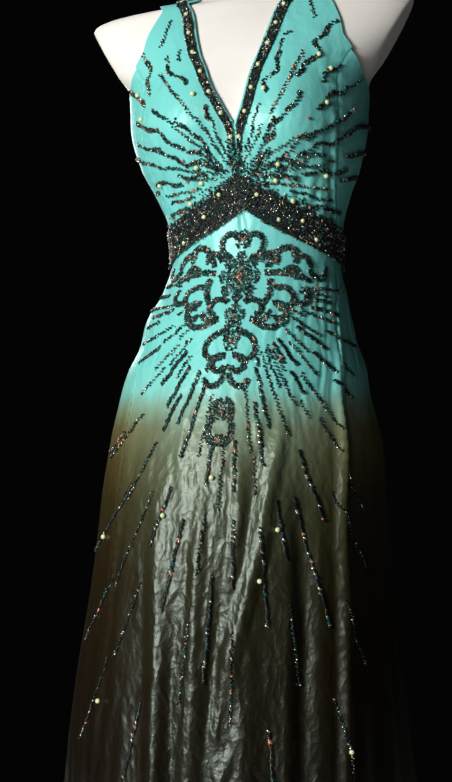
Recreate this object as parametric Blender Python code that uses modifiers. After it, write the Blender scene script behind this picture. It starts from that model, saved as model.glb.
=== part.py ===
"""Halter-neck evening gown on a limbless dress form with a pole and a round base.

Units are metres, +Z is up, the gown's front faces -Y and the floor is at height 0. The origin is
the centre of the base's underside.

The figure is a stack of sections. A place on it is an angle round the figure (0 at the front
centre, positive towards +X, 180 at the back centre) and a height. The cloth follows the figure down
to the waist, a little way out, and its own wider sections from there to the hem.
"""

import math
from collections import namedtuple

import bmesh
import bpy
from mathutils import Matrix, Vector

# Driving sizes
SEAM_GAP = 0.0003
WAIST_GAP = 0.0007
LAYER_GAP = 0.0010
TRIM_GAP = 0.0014
CLOTH_WALL = 0.0016
BAND_WALL = 0.0028
TRIM_WALL = 0.0026
EASE = 0.0030
HEM_HEIGHT = 0.018
WAIST_HEIGHT = 1.085
FORM_BOTTOM = 0.785

TRIM_WIDTH = 0.0115
TRIM_INSET = 0.0022
TRIM_POINT_SHARE = 0.12
TRIM_POINT_LEAD = 0.25
BAND_HALF_HEIGHT = 0.0200
BAND_APEX_EXTRA = 0.0010
GATHER_START = 0.004

# Seams, in panel angle
SIDE_FRONT = 55.0
SIDE_BACK = 125.0
CENTRE_BACK = 180.0

BASE_RADIUS = 0.165
BASE_THICK = 0.010
BASE_EDGE = 0.003
POLE_RADIUS = 0.0125
COLLAR_RADIUS = 0.030
COLLAR_HEIGHT = 0.034
COLLAR_WALL = 0.004
COLLAR_FOOT = 0.005
COLLAR_WAIST = 0.012
FLANGE_RADIUS = 0.045
FLANGE_THICK = 0.006
FLANGE_EDGE = 0.002

ZIP_BOTTOM = 0.940
ZIP_RUN_OUT = 0.010
ZIP_HALF_GAP = 0.0016
ZIP_CHAIN_WIDTH = 0.0024
ZIP_END_INSET = 0.002
SLIDER_WIDTH = 0.006
SLIDER_LENGTH = 0.009
SLIDER_THICK = 0.0022
SLIDER_LIFT = 0.0006
BRIDGE_WIDTH = 0.0018
BRIDGE_LENGTH = 0.0050
BRIDGE_RISE = 0.0030
BRIDGE_METAL = 0.0009
PULL_WIDTH = 0.0052
PULL_LENGTH = 0.022
PULL_THICK = 0.0010
PULL_FLARE = 1.3
PULL_HOLE_WIDTH = 0.0028
PULL_HOLE_LENGTH = 0.0032

BUTTON_RADIUS = 0.006
BUTTON_THICK = 0.004
BUTTON_DOME = 0.0016
BUTTON_HEIGHT = 1.433

# The dress form, bottom to top. Sway moves a section sideways, as the form stands.
Section = namedtuple("Section", "height half_width front back sway")
FORM_SECTIONS = (
    Section(0.785, 0.1400, 0.1180, 0.1000, -0.004),
    Section(0.830, 0.1500, 0.1310, 0.1150, -0.004),
    Section(0.875, 0.1525, 0.1350, 0.1190, -0.004),
    Section(0.930, 0.1395, 0.1260, 0.1120, -0.002),
    Section(0.980, 0.1240, 0.1110, 0.0960, 0.002),
    Section(1.030, 0.1090, 0.0950, 0.0810, 0.004),
    Section(1.075, 0.1035, 0.0870, 0.0760, 0.0075),
    Section(1.115, 0.1080, 0.0860, 0.0800, 0.0065),
    Section(1.155, 0.1215, 0.0920, 0.0870, 0.003),
    Section(1.190, 0.1370, 0.0990, 0.0940, 0.000),
    Section(1.240, 0.1485, 0.1040, 0.1000, -0.002),
    Section(1.265, 0.1495, 0.1020, 0.1030, -0.002),
    Section(1.290, 0.1530, 0.0985, 0.1050, -0.001),
    Section(1.320, 0.1790, 0.0920, 0.1040, 0.000),
    Section(1.356, 0.2030, 0.0790, 0.0980, 0.001),
    Section(1.380, 0.2085, 0.0665, 0.0880, 0.002),
    Section(1.387, 0.2050, 0.0625, 0.0845, 0.002),
    Section(1.391, 0.1950, 0.0600, 0.0820, 0.002),
    Section(1.393, 0.1780, 0.0585, 0.0805, 0.002),
    Section(1.394, 0.1580, 0.0575, 0.0795, 0.001),
    Section(1.395, 0.1360, 0.0567, 0.0787, 0.001),
    Section(1.396, 0.1160, 0.0560, 0.0780, 0.000),
    Section(1.398, 0.1000, 0.0545, 0.0765, 0.000),
    Section(1.402, 0.0890, 0.0522, 0.0730, 0.000),
    Section(1.409, 0.0795, 0.0495, 0.0678, 0.000),
    Section(1.419, 0.0725, 0.0480, 0.0630, 0.000),
    Section(1.431, 0.0670, 0.0472, 0.0595, 0.000),
    Section(1.447, 0.0610, 0.0468, 0.0565, 0.000),
    Section(1.470, 0.0570, 0.0470, 0.0540, 0.000),
    Section(1.530, 0.0550, 0.0485, 0.0530, 0.000),
)

# The form is cut flat where an arm would start: its widest, by height, is on this slanting plane.
ARMHOLE_LOW_HEIGHT = 1.290
ARMHOLE_LOW_WIDTH = 0.1520
ARMHOLE_SLOPE = 0.58

# The shoulder on +X stands a little higher than the other.
SHOULDER_TILT = 0.06
TILT_LOW = 1.250
TILT_HIGH = 1.320
TILT_FADE = 1.425
TILT_END = 1.480

# The bust of a general figure
BUST_HEIGHT = 1.230
BUST_APART = 0.078
BUST_DEPTH = 0.031
BUST_SPREAD = 0.043
BUST_RISE = 0.056
BUST_FALL = 0.037

# The skirt's inner face between its folds, waist to hem
SKIRT_SECTIONS = (
    Section(0.018, 0.2720, 0.2560, 0.2340, -0.010),
    Section(0.200, 0.2480, 0.2390, 0.2150, -0.012),
    Section(0.394, 0.2210, 0.2190, 0.1930, -0.014),
    Section(0.466, 0.2140, 0.2110, 0.1860, -0.016),
    Section(0.528, 0.2075, 0.2030, 0.1780, -0.016),
    Section(0.652, 0.1915, 0.1870, 0.1625, -0.013),
    Section(0.714, 0.1855, 0.1800, 0.1560, -0.011),
    Section(0.776, 0.1805, 0.1710, 0.1500, -0.009),
    Section(0.838, 0.1735, 0.1595, 0.1390, -0.006),
    Section(0.900, 0.1585, 0.1420, 0.1250, -0.007),
    Section(0.931, 0.1505, 0.1335, 0.1180, -0.005),
    Section(0.962, 0.1380, 0.1240, 0.1080, -0.002),
    Section(0.993, 0.1305, 0.1140, 0.0980, -0.002),
    Section(1.030, 0.1165, 0.1005, 0.0860, 0.0045),
    Section(1.075, 0.1080, 0.0912, 0.0802, 0.0075),
    Section(1.115, 0.1122, 0.0902, 0.0842, 0.0065),
)
BLEND_LOW = 1.030
BLEND_HIGH = 1.075

# Where the side-front seam runs, as an angle at each height
SeamPoint = namedtuple("SeamPoint", "height angle")
SIDE_FRONT_SEAM = (
    SeamPoint(0.018, 39.0),
    SeamPoint(0.394, 44.0),
    SeamPoint(0.540, 46.5),
    SeamPoint(0.656, 48.0),
    SeamPoint(0.774, 49.5),
    SeamPoint(0.894, 54.0),
    SeamPoint(0.992, 64.0),
    SeamPoint(1.050, 73.5),
    SeamPoint(1.085, 79.0),
    SeamPoint(1.113, 74.0),
    SeamPoint(1.145, 66.0),
    SeamPoint(1.185, 58.5),
    SeamPoint(1.222, 55.5),
    SeamPoint(1.252, 53.5),
    SeamPoint(1.278, 51.5),
    SeamPoint(1.298, 50.0),
    SeamPoint(1.316, 49.0),
)

# Middle line of the beaded band, which hides the seam of bodice and skirt
BandPoint = namedtuple("BandPoint", "angle height")
BAND_LINE = (
    BandPoint(0.0, 1.1500),
    BandPoint(11.0, 1.1340),
    BandPoint(20.0, 1.1240),
    BandPoint(35.0, 1.1110),
    BandPoint(56.0, 1.0970),
    BandPoint(79.0, 1.0850),
    BandPoint(105.0, 1.0790),
    BandPoint(180.0, 1.0730),
)

# One bodice front, from the band up over the shoulder to the nape, by its neck and armhole edges.
# Lean moves the neck edge towards -X on both sides, as the gown sits on the form.
Station = namedtuple("Station", "neck_angle neck_height arm_angle arm_height lean")
FRONT_STATIONS = (
    Station(0.0, 1.1500, 79.0, 1.0850, 0.0),
    Station(0.0, 1.1680, 74.0, 1.1130, 0.0),
    Station(0.0, 1.1860, 66.0, 1.1450, 0.0),
    Station(0.0, 1.2030, 58.5, 1.1850, 0.0),
    Station(0.0, 1.2220, 55.5, 1.2220, 0.0),
    Station(3.6, 1.2440, 53.5, 1.2520, 0.8),
    Station(7.4, 1.2680, 51.5, 1.2780, 2.4),
    Station(9.9, 1.2900, 50.0, 1.2980, 3.4),
    Station(11.6, 1.3120, 49.0, 1.3160, 3.4),
    Station(12.6, 1.3350, 40.5, 1.3350, 3.2),
    Station(13.4, 1.3570, 36.0, 1.3550, 3.0),
    Station(14.6, 1.3750, 32.5, 1.3720, 3.0),
    Station(16.6, 1.3865, 30.5, 1.3840, 3.0),
    Station(20.5, 1.3930, 33.0, 1.3905, 2.7),
    Station(31.0, 1.3970, 42.0, 1.3938, 2.6),
    Station(41.0, 1.4025, 54.5, 1.3950, 1.8),
    Station(50.5, 1.4090, 70.0, 1.3958, 0.8),
    Station(64.0, 1.4180, 92.0, 1.3970, 0.0),
    Station(90.0, 1.4310, 115.0, 1.4010, 0.0),
    Station(120.0, 1.4410, 137.0, 1.4080, 0.0),
    Station(150.0, 1.4490, 160.0, 1.4170, 0.0),
    Station(180.0, 1.4540, 180.0, 1.4240, 0.0),
)
ARMPIT_STATION = 8
EXTRA_STATIONS = (0.5, 1.5, 2.5, 12.5, 13.5)
TRIM_FIRST_STATION = 2.8
TRIM_FULL_STATION = 4.6
BAND_FADE_STATIONS = 3.0

# Top edge of the bodice from the side-front seam to the centre back
TopPoint = namedtuple("TopPoint", "panel_angle height")
BACK_TOP_EDGE = (
    TopPoint(55.0, 1.3160),
    TopPoint(65.0, 1.3045),
    TopPoint(78.0, 1.2910),
    TopPoint(92.0, 1.2740),
    TopPoint(108.0, 1.2400),
    TopPoint(125.0, 1.2000),
    TopPoint(150.0, 1.1660),
    TopPoint(180.0, 1.1520),
)

# The skirt's soft folds: a ridge each, at a panel angle, deepest at the hem
Fold = namedtuple("Fold", "panel_angle half_width depth top")
SKIRT_FOLDS = (
    Fold(-180.0, 9.0, 0.012, 0.93),
    Fold(-164.0, 8.0, 0.015, 0.88),
    Fold(-145.0, 9.0, 0.011, 0.90),
    Fold(-125.0, 9.0, 0.013, 0.90),
    Fold(-107.0, 8.0, 0.010, 0.84),
    Fold(-90.0, 8.5, 0.013, 0.80),
    Fold(-72.0, 8.5, 0.010, 0.86),
    Fold(-55.0, 8.0, 0.011, 0.90),
    Fold(-38.0, 7.5, 0.008, 0.82),
    Fold(-20.0, 8.0, 0.014, 0.90),
    Fold(-3.0, 7.0, 0.009, 0.80),
    Fold(13.0, 7.5, 0.013, 0.86),
    Fold(31.0, 8.0, 0.010, 0.92),
    Fold(47.0, 7.0, 0.008, 0.78),
    Fold(57.0, 6.5, 0.010, 0.93),
    Fold(74.0, 8.5, 0.012, 0.84),
    Fold(91.0, 8.0, 0.010, 0.80),
    Fold(108.0, 8.5, 0.013, 0.88),
    Fold(125.0, 8.5, 0.010, 0.90),
    Fold(144.0, 9.0, 0.014, 0.88),
    Fold(163.0, 8.0, 0.011, 0.91),
)

# Gathers that fan up from the band into each bodice front
Gather = namedtuple("Gather", "angle half_width depth reach")
BODICE_GATHERS = (
    Gather(6.0, 4.5, 0.0022, 0.050),
    Gather(17.0, 5.0, 0.0026, 0.070),
    Gather(29.0, 5.0, 0.0022, 0.080),
    Gather(41.0, 5.5, 0.0026, 0.075),
    Gather(54.0, 5.5, 0.0020, 0.060),
)

# Colours of the materials, linear
TURQUOISE = (0.105, 0.545, 0.505)
OLIVE = (0.075, 0.078, 0.042)
BEAD_DARK = (0.012, 0.040, 0.038)
IVORY = (0.800, 0.770, 0.720)
CHROME = (0.620, 0.620, 0.630)
BLACK_STEEL = (0.030, 0.030, 0.032)

# Step for slopes, and the figure's radii that turn a short length into degrees
DIFFERENCE = 0.0004
FIGURE_RADIUS = 0.100
NECK_RADIUS = 0.060

# Divisions of the surfaces
FORM_COLUMNS = 30
FRONT_COLUMNS = 14
BODICE_SIDE_COLUMNS = 8
BODICE_BACK_COLUMNS = 7
SKIRT_FRONT_COLUMNS = 28
SKIRT_SIDE_COLUMNS = 16
SKIRT_BACK_COLUMNS = 14
BAND_BACK_COLUMNS = 30


# Curves through tables

def curve(points, x):
    """Smooth value at x through (x, value) points sorted by x, never past a point between two."""
    if x <= points[0][0]:
        return points[0][1]
    if x >= points[-1][0]:
        return points[-1][1]
    index = next(i for i in range(1, len(points)) if x <= points[i][0])
    (x0, y0), (x1, y1) = points[index - 1], points[index]
    step = x1 - x0
    slope = (y1 - y0) / step

    def tangent(i):
        if i == 0 or i == len(points) - 1:
            return slope
        before = (points[i][1] - points[i - 1][1]) / (points[i][0] - points[i - 1][0])
        after = (points[i + 1][1] - points[i][1]) / (points[i + 1][0] - points[i][0])
        if before * after <= 0:
            return 0.0
        return 2 * before * after / (before + after)

    t = (x - x0) / step
    m0, m1 = tangent(index - 1) * step, tangent(index) * step
    return (
        (2 * t**3 - 3 * t**2 + 1) * y0
        + (t**3 - 2 * t**2 + t) * m0
        + (-2 * t**3 + 3 * t**2) * y1
        + (t**3 - t**2) * m1
    )


def column(table, x_name, y_name):
    """The (x, value) points of two named columns, sorted by x."""
    return sorted((getattr(row, x_name), getattr(row, y_name)) for row in table)


def section_curves(table):
    return {
        name: column(table, "height", name)
        for name in ("half_width", "front", "back", "sway")
    }


FORM_CURVES = section_curves(FORM_SECTIONS)
SKIRT_CURVES = section_curves(SKIRT_SECTIONS)
SEAM_CURVE = column(SIDE_FRONT_SEAM, "height", "angle")
BAND_CURVE = column(BAND_LINE, "angle", "height")
TOP_EDGE_CURVE = column(BACK_TOP_EDGE, "panel_angle", "height")


def smoothstep(t):
    t = min(1.0, max(0.0, t))
    return t * t * (3 - 2 * t)


def bump(distance, half_width):
    """1 at distance 0, falling smoothly to 0 at half_width."""
    t = abs(distance) / half_width
    return 0.0 if t >= 1 else 0.5 + 0.5 * math.cos(math.pi * t)


# The figure

def section_point(curves, angle, height):
    """Point of an oval section: one half-width, with its own depth in front and behind."""
    turn = math.radians(angle)
    depth = curve(curves["front" if math.cos(turn) >= 0 else "back"], height)
    return Vector((
        curve(curves["sway"], height) + curve(curves["half_width"], height) * math.sin(turn),
        -depth * math.cos(turn),
        height,
    ))


def form_point(angle, height):
    """Point on the dress form's surface, with its bust and its flat arm cuts."""
    point = section_point(FORM_CURVES, angle, height)
    spread = BUST_RISE if height > BUST_HEIGHT else BUST_FALL
    rise = math.exp(-((height - BUST_HEIGHT) / spread) ** 2 / 2)
    facing = (1 + math.cos(math.radians(angle))) / 2
    for side in (-1, 1):
        across = (point.x - side * BUST_APART) / BUST_SPREAD
        point.y -= BUST_DEPTH * rise * facing * math.exp(-across * across / 2)
    widest = ARMHOLE_LOW_WIDTH + (height - ARMHOLE_LOW_HEIGHT) * ARMHOLE_SLOPE
    if height > ARMHOLE_LOW_HEIGHT:
        point.x = min(widest, max(-widest, point.x))
    tilt = smoothstep((height - TILT_LOW) / (TILT_HIGH - TILT_LOW))
    tilt *= 1 - smoothstep((height - TILT_FADE) / (TILT_END - TILT_FADE))
    point.z += SHOULDER_TILT * tilt * point.x
    return point


def degrees_for(distance, radius):
    return math.degrees(distance / radius)


def outward(surface, angle, height):
    """Unit normal of a surface function at an angle and a height."""
    turn = degrees_for(DIFFERENCE, FIGURE_RADIUS)
    along = surface(angle + turn, height) - surface(angle - turn, height)
    up = surface(angle, height + DIFFERENCE) - surface(angle, height - DIFFERENCE)
    return along.cross(up).normalized()


def cloth_over_form(angle, height):
    return form_point(angle, height) + outward(form_point, angle, height) * EASE


def cloth_base(angle, height):
    """Inner face of the cloth with no folds: the figure above the waist, the skirt's own shape below."""
    if height >= BLEND_HIGH:
        return cloth_over_form(angle, height)
    hanging = section_point(SKIRT_CURVES, angle, height)
    if height <= BLEND_LOW:
        return hanging
    share = smoothstep((height - BLEND_LOW) / (BLEND_HIGH - BLEND_LOW))
    return hanging.lerp(cloth_over_form(angle, height), share)


def angle_of(panel_angle, height):
    """Angle round the figure of a panel angle, which holds each seam at one value."""
    away = abs(panel_angle)
    seam = curve(SEAM_CURVE, height)
    if away <= SIDE_FRONT:
        angle = away / SIDE_FRONT * seam
    elif away <= SIDE_BACK:
        angle = seam + (away - SIDE_FRONT) / (SIDE_BACK - SIDE_FRONT) * (SIDE_BACK - seam)
    else:
        angle = away
    return math.copysign(angle, panel_angle)


def band_height(angle):
    return curve(BAND_CURVE, abs(angle))


def band_half_height(angle):
    return BAND_HALF_HEIGHT + BAND_APEX_EXTRA * bump(angle, 30.0)


def fold_depth(panel_angle, height):
    """How far the skirt's folds lift the cloth here."""
    total = 0.0
    for fold in SKIRT_FOLDS:
        apart = (panel_angle - fold.panel_angle + 180) % 360 - 180
        fall = smoothstep((fold.top - height) / (fold.top - HEM_HEIGHT))
        total += fold.depth * (0.25 + 0.75 * fall) * fall**0.5 * bump(apart, fold.half_width)
    return total


def gather_depth(angle, height):
    """How far the bodice's gathers lift the cloth here, fading out above the band."""
    total = 0.0
    start = band_height(angle) + band_half_height(angle) + GATHER_START
    for gather in BODICE_GATHERS:
        above = (height - start) / gather.reach
        if 0 < above < 1:
            fade = math.sin(math.pi * above**0.6) ** 2
            total += gather.depth * fade * bump(abs(angle) - gather.angle, gather.half_width)
    return total


def cloth_point(angle, height, lift=0.0):
    """Point on the cloth's inner face, moved out by lift."""
    return cloth_base(angle, height) + outward(cloth_base, angle, height) * lift


def skirt_point(panel_angle, height, seam_height, lift=0.0):
    """Point on the skirt; the row's height at the side-front seam says where that seam runs."""
    angle = angle_of(panel_angle, seam_height)
    return cloth_point(angle, height, lift + fold_depth(panel_angle, height))


# Objects

def fresh_scene():
    for obj in list(bpy.data.objects):
        bpy.data.objects.remove(obj, do_unlink=True)
    collections = []
    for name in ("evening_gown", "cutters"):
        collection = bpy.data.collections.new(name)
        bpy.context.scene.collection.children.link(collection)
        collections.append(collection)
    return collections


def material(name, colour, roughness, metallic=0.0):
    made = bpy.data.materials.new(name)
    made.use_nodes = True
    shader = made.node_tree.nodes["Principled BSDF"]
    shader.inputs["Base Color"].default_value = (*colour, 1.0)
    shader.inputs["Roughness"].default_value = roughness
    shader.inputs["Metallic"].default_value = metallic
    return made


def object_from(name, bm, surface, collection, smooth=True):
    bm.normal_update()
    mesh = bpy.data.meshes.new(name)
    bm.to_mesh(mesh)
    bm.free()
    mesh.materials.append(surface)
    obj = bpy.data.objects.new(name, mesh)
    collection.objects.link(obj)
    if smooth:
        mesh.shade_smooth()
        mesh.set_sharp_from_angle(angle=math.radians(50))
    return obj


def grid_surface(points):
    """Open surface over a grid of points, its faces turned away from the figure's axis."""
    bm = bmesh.new()
    grid = [[bm.verts.new(point) for point in row] for row in points]
    for upper, lower in zip(grid, grid[1:]):
        for i in range(len(upper) - 1):
            bm.faces.new((upper[i], lower[i], lower[i + 1], upper[i + 1]))
    bm.normal_update()
    facing = sum(
        face.normal.dot(Vector((centre.x, centre.y, 0.0)))
        for face in bm.faces
        for centre in [face.calc_center_median()]
    )
    if facing < 0:
        bmesh.ops.reverse_faces(bm, faces=bm.faces)
    return bm


def panel(name, points, wall, surface, collection):
    """A piece of cloth: an open surface at its inner face, thickened outwards."""
    obj = object_from(name, grid_surface(points), surface, collection)
    thicken = obj.modifiers.new("wall", "SOLIDIFY")
    thicken.thickness = wall
    thicken.offset = 1.0
    thicken.use_even_offset = True
    thicken.use_quality_normals = True
    return obj


def rows_between(top, bottom, count):
    return [top + (bottom - top) * i / count for i in range(count + 1)]


# The dress form and its stand

def build_form(collection, surface):
    """The form as one closed loft from its flat bottom to its flat neck top."""
    heights = [row.height for row in FORM_SECTIONS]
    bm = bmesh.new()
    rings = []
    for height in heights:
        ring = [
            bm.verts.new(form_point(360.0 * i / FORM_COLUMNS - 180.0, height))
            for i in range(FORM_COLUMNS)
        ]
        rings.append(ring)
    for lower, upper in zip(rings, rings[1:]):
        for i in range(FORM_COLUMNS):
            j = (i + 1) % FORM_COLUMNS
            bm.faces.new((lower[i], lower[j], upper[j], upper[i]))
    bm.faces.new(reversed(rings[0]))
    bm.faces.new(rings[-1])
    return object_from("form_torso", bm, surface, collection)


def turned(name, profile, surface, collection, steps):
    """A turned piece: its profile runs down the outer side, from the axis back to the axis."""
    bm = bmesh.new()
    verts = [bm.verts.new((radius, 0.0, height)) for radius, height in profile]
    for first, second in zip(verts, verts[1:]):
        bm.edges.new((first, second))
    obj = object_from(name, bm, surface, collection, smooth=False)
    screw = obj.modifiers.new("turn", "SCREW")
    screw.steps = steps
    screw.render_steps = steps
    screw.use_merge_vertices = True
    screw.merge_threshold = 0.0001
    screw.use_smooth_shade = False
    return obj


def build_stand(collection, steel, chrome):
    """Round base, collar, pole and the flange that carries the form."""
    turned("stand_base", [
        (0.0, BASE_THICK),
        (BASE_RADIUS - BASE_EDGE, BASE_THICK),
        (BASE_RADIUS, BASE_THICK - BASE_EDGE),
        (BASE_RADIUS, BASE_EDGE / 2),
        (BASE_RADIUS - BASE_EDGE / 2, 0.0),
        (0.0, 0.0),
    ], steel, collection, steps=36)

    collar_low = BASE_THICK + SEAM_GAP
    collar_bore = POLE_RADIUS + SEAM_GAP
    turned("stand_collar", [
        (collar_bore, collar_low + COLLAR_HEIGHT),
        (collar_bore + COLLAR_WALL, collar_low + COLLAR_HEIGHT),
        (collar_bore + COLLAR_WALL, collar_low + COLLAR_WAIST),
        (COLLAR_RADIUS, collar_low + COLLAR_FOOT),
        (COLLAR_RADIUS, collar_low),
        (collar_bore, collar_low),
        (collar_bore, collar_low + COLLAR_HEIGHT),
    ], chrome, collection, steps=20)

    flange_top = FORM_BOTTOM - SEAM_GAP
    flange_low = flange_top - FLANGE_THICK
    turned("form_flange", [
        (0.0, flange_top),
        (FLANGE_RADIUS, flange_top),
        (FLANGE_RADIUS, flange_low + FLANGE_EDGE),
        (FLANGE_RADIUS - FLANGE_EDGE, flange_low),
        (0.0, flange_low),
    ], chrome, collection, steps=20)

    pole_low = BASE_THICK + SEAM_GAP
    pole_high = flange_low - SEAM_GAP
    turned("stand_pole", [
        (0.0, pole_high),
        (POLE_RADIUS, pole_high),
        (POLE_RADIUS, pole_low),
        (0.0, pole_low),
    ], chrome, collection, steps=16)


# The bodice

def station_curves():
    return {
        name: [(i, getattr(row, name)) for i, row in enumerate(FRONT_STATIONS)]
        for name in Station._fields
    }


STATION_CURVES = station_curves()


def front_rows():
    """Stations with a row of points, and places between stations where the front curves most."""
    return sorted([*range(len(FRONT_STATIONS)), *EXTRA_STATIONS])


def front_place(side, station, across):
    """Angle and height at a share across the bodice front, from its neck edge to its armhole edge."""
    neck_angle = curve(STATION_CURVES["neck_angle"], station)
    neck_angle -= side * curve(STATION_CURVES["lean"], station)
    neck_height = curve(STATION_CURVES["neck_height"], station)
    arm_height = curve(STATION_CURVES["arm_height"], station)
    if station <= ARMPIT_STATION:
        arm_angle = curve(SEAM_CURVE, arm_height)
    else:
        arm_angle = curve(STATION_CURVES["arm_angle"], station)
    angle = neck_angle + (arm_angle - neck_angle) * across
    height = neck_height + (arm_height - neck_height) * across
    hold = 1 - smoothstep(station / BAND_FADE_STATIONS)
    widest = FRONT_STATIONS[0].arm_angle
    first, last = band_height(0.0), band_height(widest)
    height += hold * (band_height(widest * across) - (first + (last - first) * across))
    return angle, height


def front_point(side, station, across, lift=0.0):
    """Point on a bodice front, kept half a gap clear of the centre and of its seams."""
    angle, height = front_place(side, station, across)
    half_gap = degrees_for(SEAM_GAP / 2, NECK_RADIUS)
    inner_clear = half_gap if across < 0.5 else -half_gap
    angle = min(CENTRE_BACK - half_gap, max(half_gap, angle + inner_clear))
    if station == 0:
        height += WAIST_GAP / 2
    return cloth_point(side * angle, height, lift + gather_depth(angle, height))


def front_width(side, station):
    """Length across the bodice front at a station."""
    steps = 8
    points = [front_point(side, station, i / steps) for i in range(steps + 1)]
    return sum((b - a).length for a, b in zip(points, points[1:]))


def build_bodice_fronts(collection, surface):
    for side, word in ((-1, "left"), (1, "right")):
        points = [
            [front_point(side, station, i / FRONT_COLUMNS) for i in range(FRONT_COLUMNS + 1)]
            for station in front_rows()
        ]
        panel(f"bodice_front_{word}", points, CLOTH_WALL, surface, collection)


def build_neck_trims(collection, surface):
    """Beaded edging that lies on each front from the point of the V to the nape."""
    low = TRIM_FIRST_STATION
    stations = [low, low + 0.5, low + 1.0, low + 1.5]
    stations += [station for station in front_rows() if station > low + 2.0]
    across_columns = 2
    for side, word in ((-1, "left"), (1, "right")):
        points = []
        for station in stations:
            past = station - TRIM_FIRST_STATION + TRIM_POINT_LEAD
            full = TRIM_FULL_STATION - TRIM_FIRST_STATION + TRIM_POINT_LEAD
            share = max(TRIM_POINT_SHARE, smoothstep(past / full))
            width = front_width(side, station)
            start = TRIM_INSET / width
            end = (TRIM_INSET + TRIM_WIDTH * share) / width
            row = []
            for i in range(across_columns + 1):
                across = start + (end - start) * i / across_columns
                row.append(front_point(side, station, across, CLOTH_WALL + TRIM_GAP))
            points.append(row)
        panel(f"neck_trim_{word}", points, TRIM_WALL, surface, collection)


def zip_half_gap(height):
    """Half the space between the back panels: the zip's above its end, a seam's below it."""
    open_share = smoothstep((height - ZIP_BOTTOM + ZIP_RUN_OUT) / ZIP_RUN_OUT)
    return SEAM_GAP / 2 + (ZIP_HALF_GAP - SEAM_GAP / 2) * open_share


def trimmed(panel_angle, height, low_seam, high_seam, low_gap, high_gap):
    """Panel angle held clear of the seams at a panel's two sides."""
    radius = cloth_base(angle_of(panel_angle, height), height).to_2d().length
    if panel_angle <= low_seam:
        return low_seam + degrees_for(low_gap, radius)
    if panel_angle >= high_seam:
        return high_seam - degrees_for(high_gap, radius)
    return panel_angle


def side_gap(seam, height):
    return zip_half_gap(height) if seam == CENTRE_BACK else SEAM_GAP / 2


def back_row_shares():
    """Shares of the way down the side-front seam at which the fronts have their stations."""
    stations = [station for station in front_rows() if station <= ARMPIT_STATION]
    heights = [curve(STATION_CURVES["arm_height"], station) for station in stations]
    low, high = heights[0], heights[-1]
    return [(high - height) / (high - low) for height in reversed(heights)]


def bodice_back_height(panel_angle, share):
    """Height a share of the way down from the bodice's top edge to the waist seam."""
    top = curve(TOP_EDGE_CURVE, panel_angle)
    bottom = band_height(angle_of(panel_angle, WAIST_HEIGHT)) + WAIST_GAP / 2
    return top + (bottom - top) * share


def bodice_back_points(side, low_seam, high_seam, columns):
    points = []
    for share in back_row_shares():
        seam_height = bodice_back_height(SIDE_FRONT, share)
        line = []
        for i in range(columns + 1):
            panel_angle = low_seam + (high_seam - low_seam) * i / columns
            height = bodice_back_height(panel_angle, share)
            place = trimmed(
                panel_angle, height, low_seam, high_seam,
                side_gap(low_seam, height), side_gap(high_seam, height),
            )
            line.append(cloth_point(side * angle_of(place, seam_height), height))
        points.append(line)
    return points


def build_bodice_backs(collection, surface):
    for side, word in ((-1, "left"), (1, "right")):
        points = bodice_back_points(side, SIDE_FRONT, SIDE_BACK, BODICE_SIDE_COLUMNS)
        panel(f"bodice_side_{word}", points, CLOTH_WALL, surface, collection)
        points = bodice_back_points(side, SIDE_BACK, CENTRE_BACK, BODICE_BACK_COLUMNS)
        panel(f"bodice_back_{word}", points, CLOTH_WALL, surface, collection)


# The band

def band_points(start, end, columns, start_gap, end_gap):
    rows = 3
    lift = CLOTH_WALL + LAYER_GAP
    points = []
    for row in range(rows + 1):
        line = []
        for i in range(columns + 1):
            panel_angle = start + (end - start) * i / columns
            place = trimmed(panel_angle, WAIST_HEIGHT, start, end, start_gap, end_gap)
            angle = angle_of(place, WAIST_HEIGHT)
            half = band_half_height(angle)
            height = band_height(angle) + half - 2 * half * row / rows
            line.append(cloth_point(angle, height, lift))
        points.append(line)
    return points


def build_bands(collection, surface):
    seam_half = SEAM_GAP / 2
    front = band_points(-SIDE_FRONT, SIDE_FRONT, SKIRT_FRONT_COLUMNS, seam_half, seam_half)
    panel("band_front", front, BAND_WALL, surface, collection)
    columns = BAND_BACK_COLUMNS
    left = band_points(-CENTRE_BACK, -SIDE_FRONT, columns, ZIP_HALF_GAP, seam_half)
    panel("band_back_left", left, BAND_WALL, surface, collection)
    right = band_points(SIDE_FRONT, CENTRE_BACK, columns, seam_half, ZIP_HALF_GAP)
    panel("band_back_right", right, BAND_WALL, surface, collection)


# The skirt

SKIRT_LEVELS = (
    1.020, 0.985, 0.940, 0.890, 0.835, 0.765, 0.665, 0.540, 0.400, 0.255, 0.120, HEM_HEIGHT,
)
ROWS_UNDER_BAND = 2
ROWS_BELOW_BAND = 2


def skirt_heights(angle):
    """Row heights at an angle: rows under the band, a few below it, then the common levels."""
    top = band_height(angle) - WAIST_GAP / 2
    edge = band_height(angle) - band_half_height(angle)
    under = rows_between(top, edge, ROWS_UNDER_BAND)[:-1]
    below = rows_between(edge, SKIRT_LEVELS[0], ROWS_BELOW_BAND)[:-1]
    return under + below + list(SKIRT_LEVELS)


def skirt_points(start, end, columns):
    points = []
    seam_heights = skirt_heights(FRONT_STATIONS[0].arm_angle)
    for row, seam_height in enumerate(seam_heights):
        line = []
        for i in range(columns + 1):
            panel_angle = start + (end - start) * i / columns
            height = skirt_heights(angle_of(panel_angle, WAIST_HEIGHT))[row]
            place = trimmed(
                panel_angle, height, start, end,
                side_gap(abs(start), height), side_gap(abs(end), height),
            )
            line.append(skirt_point(place, height, seam_height))
        points.append(line)
    return points


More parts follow.
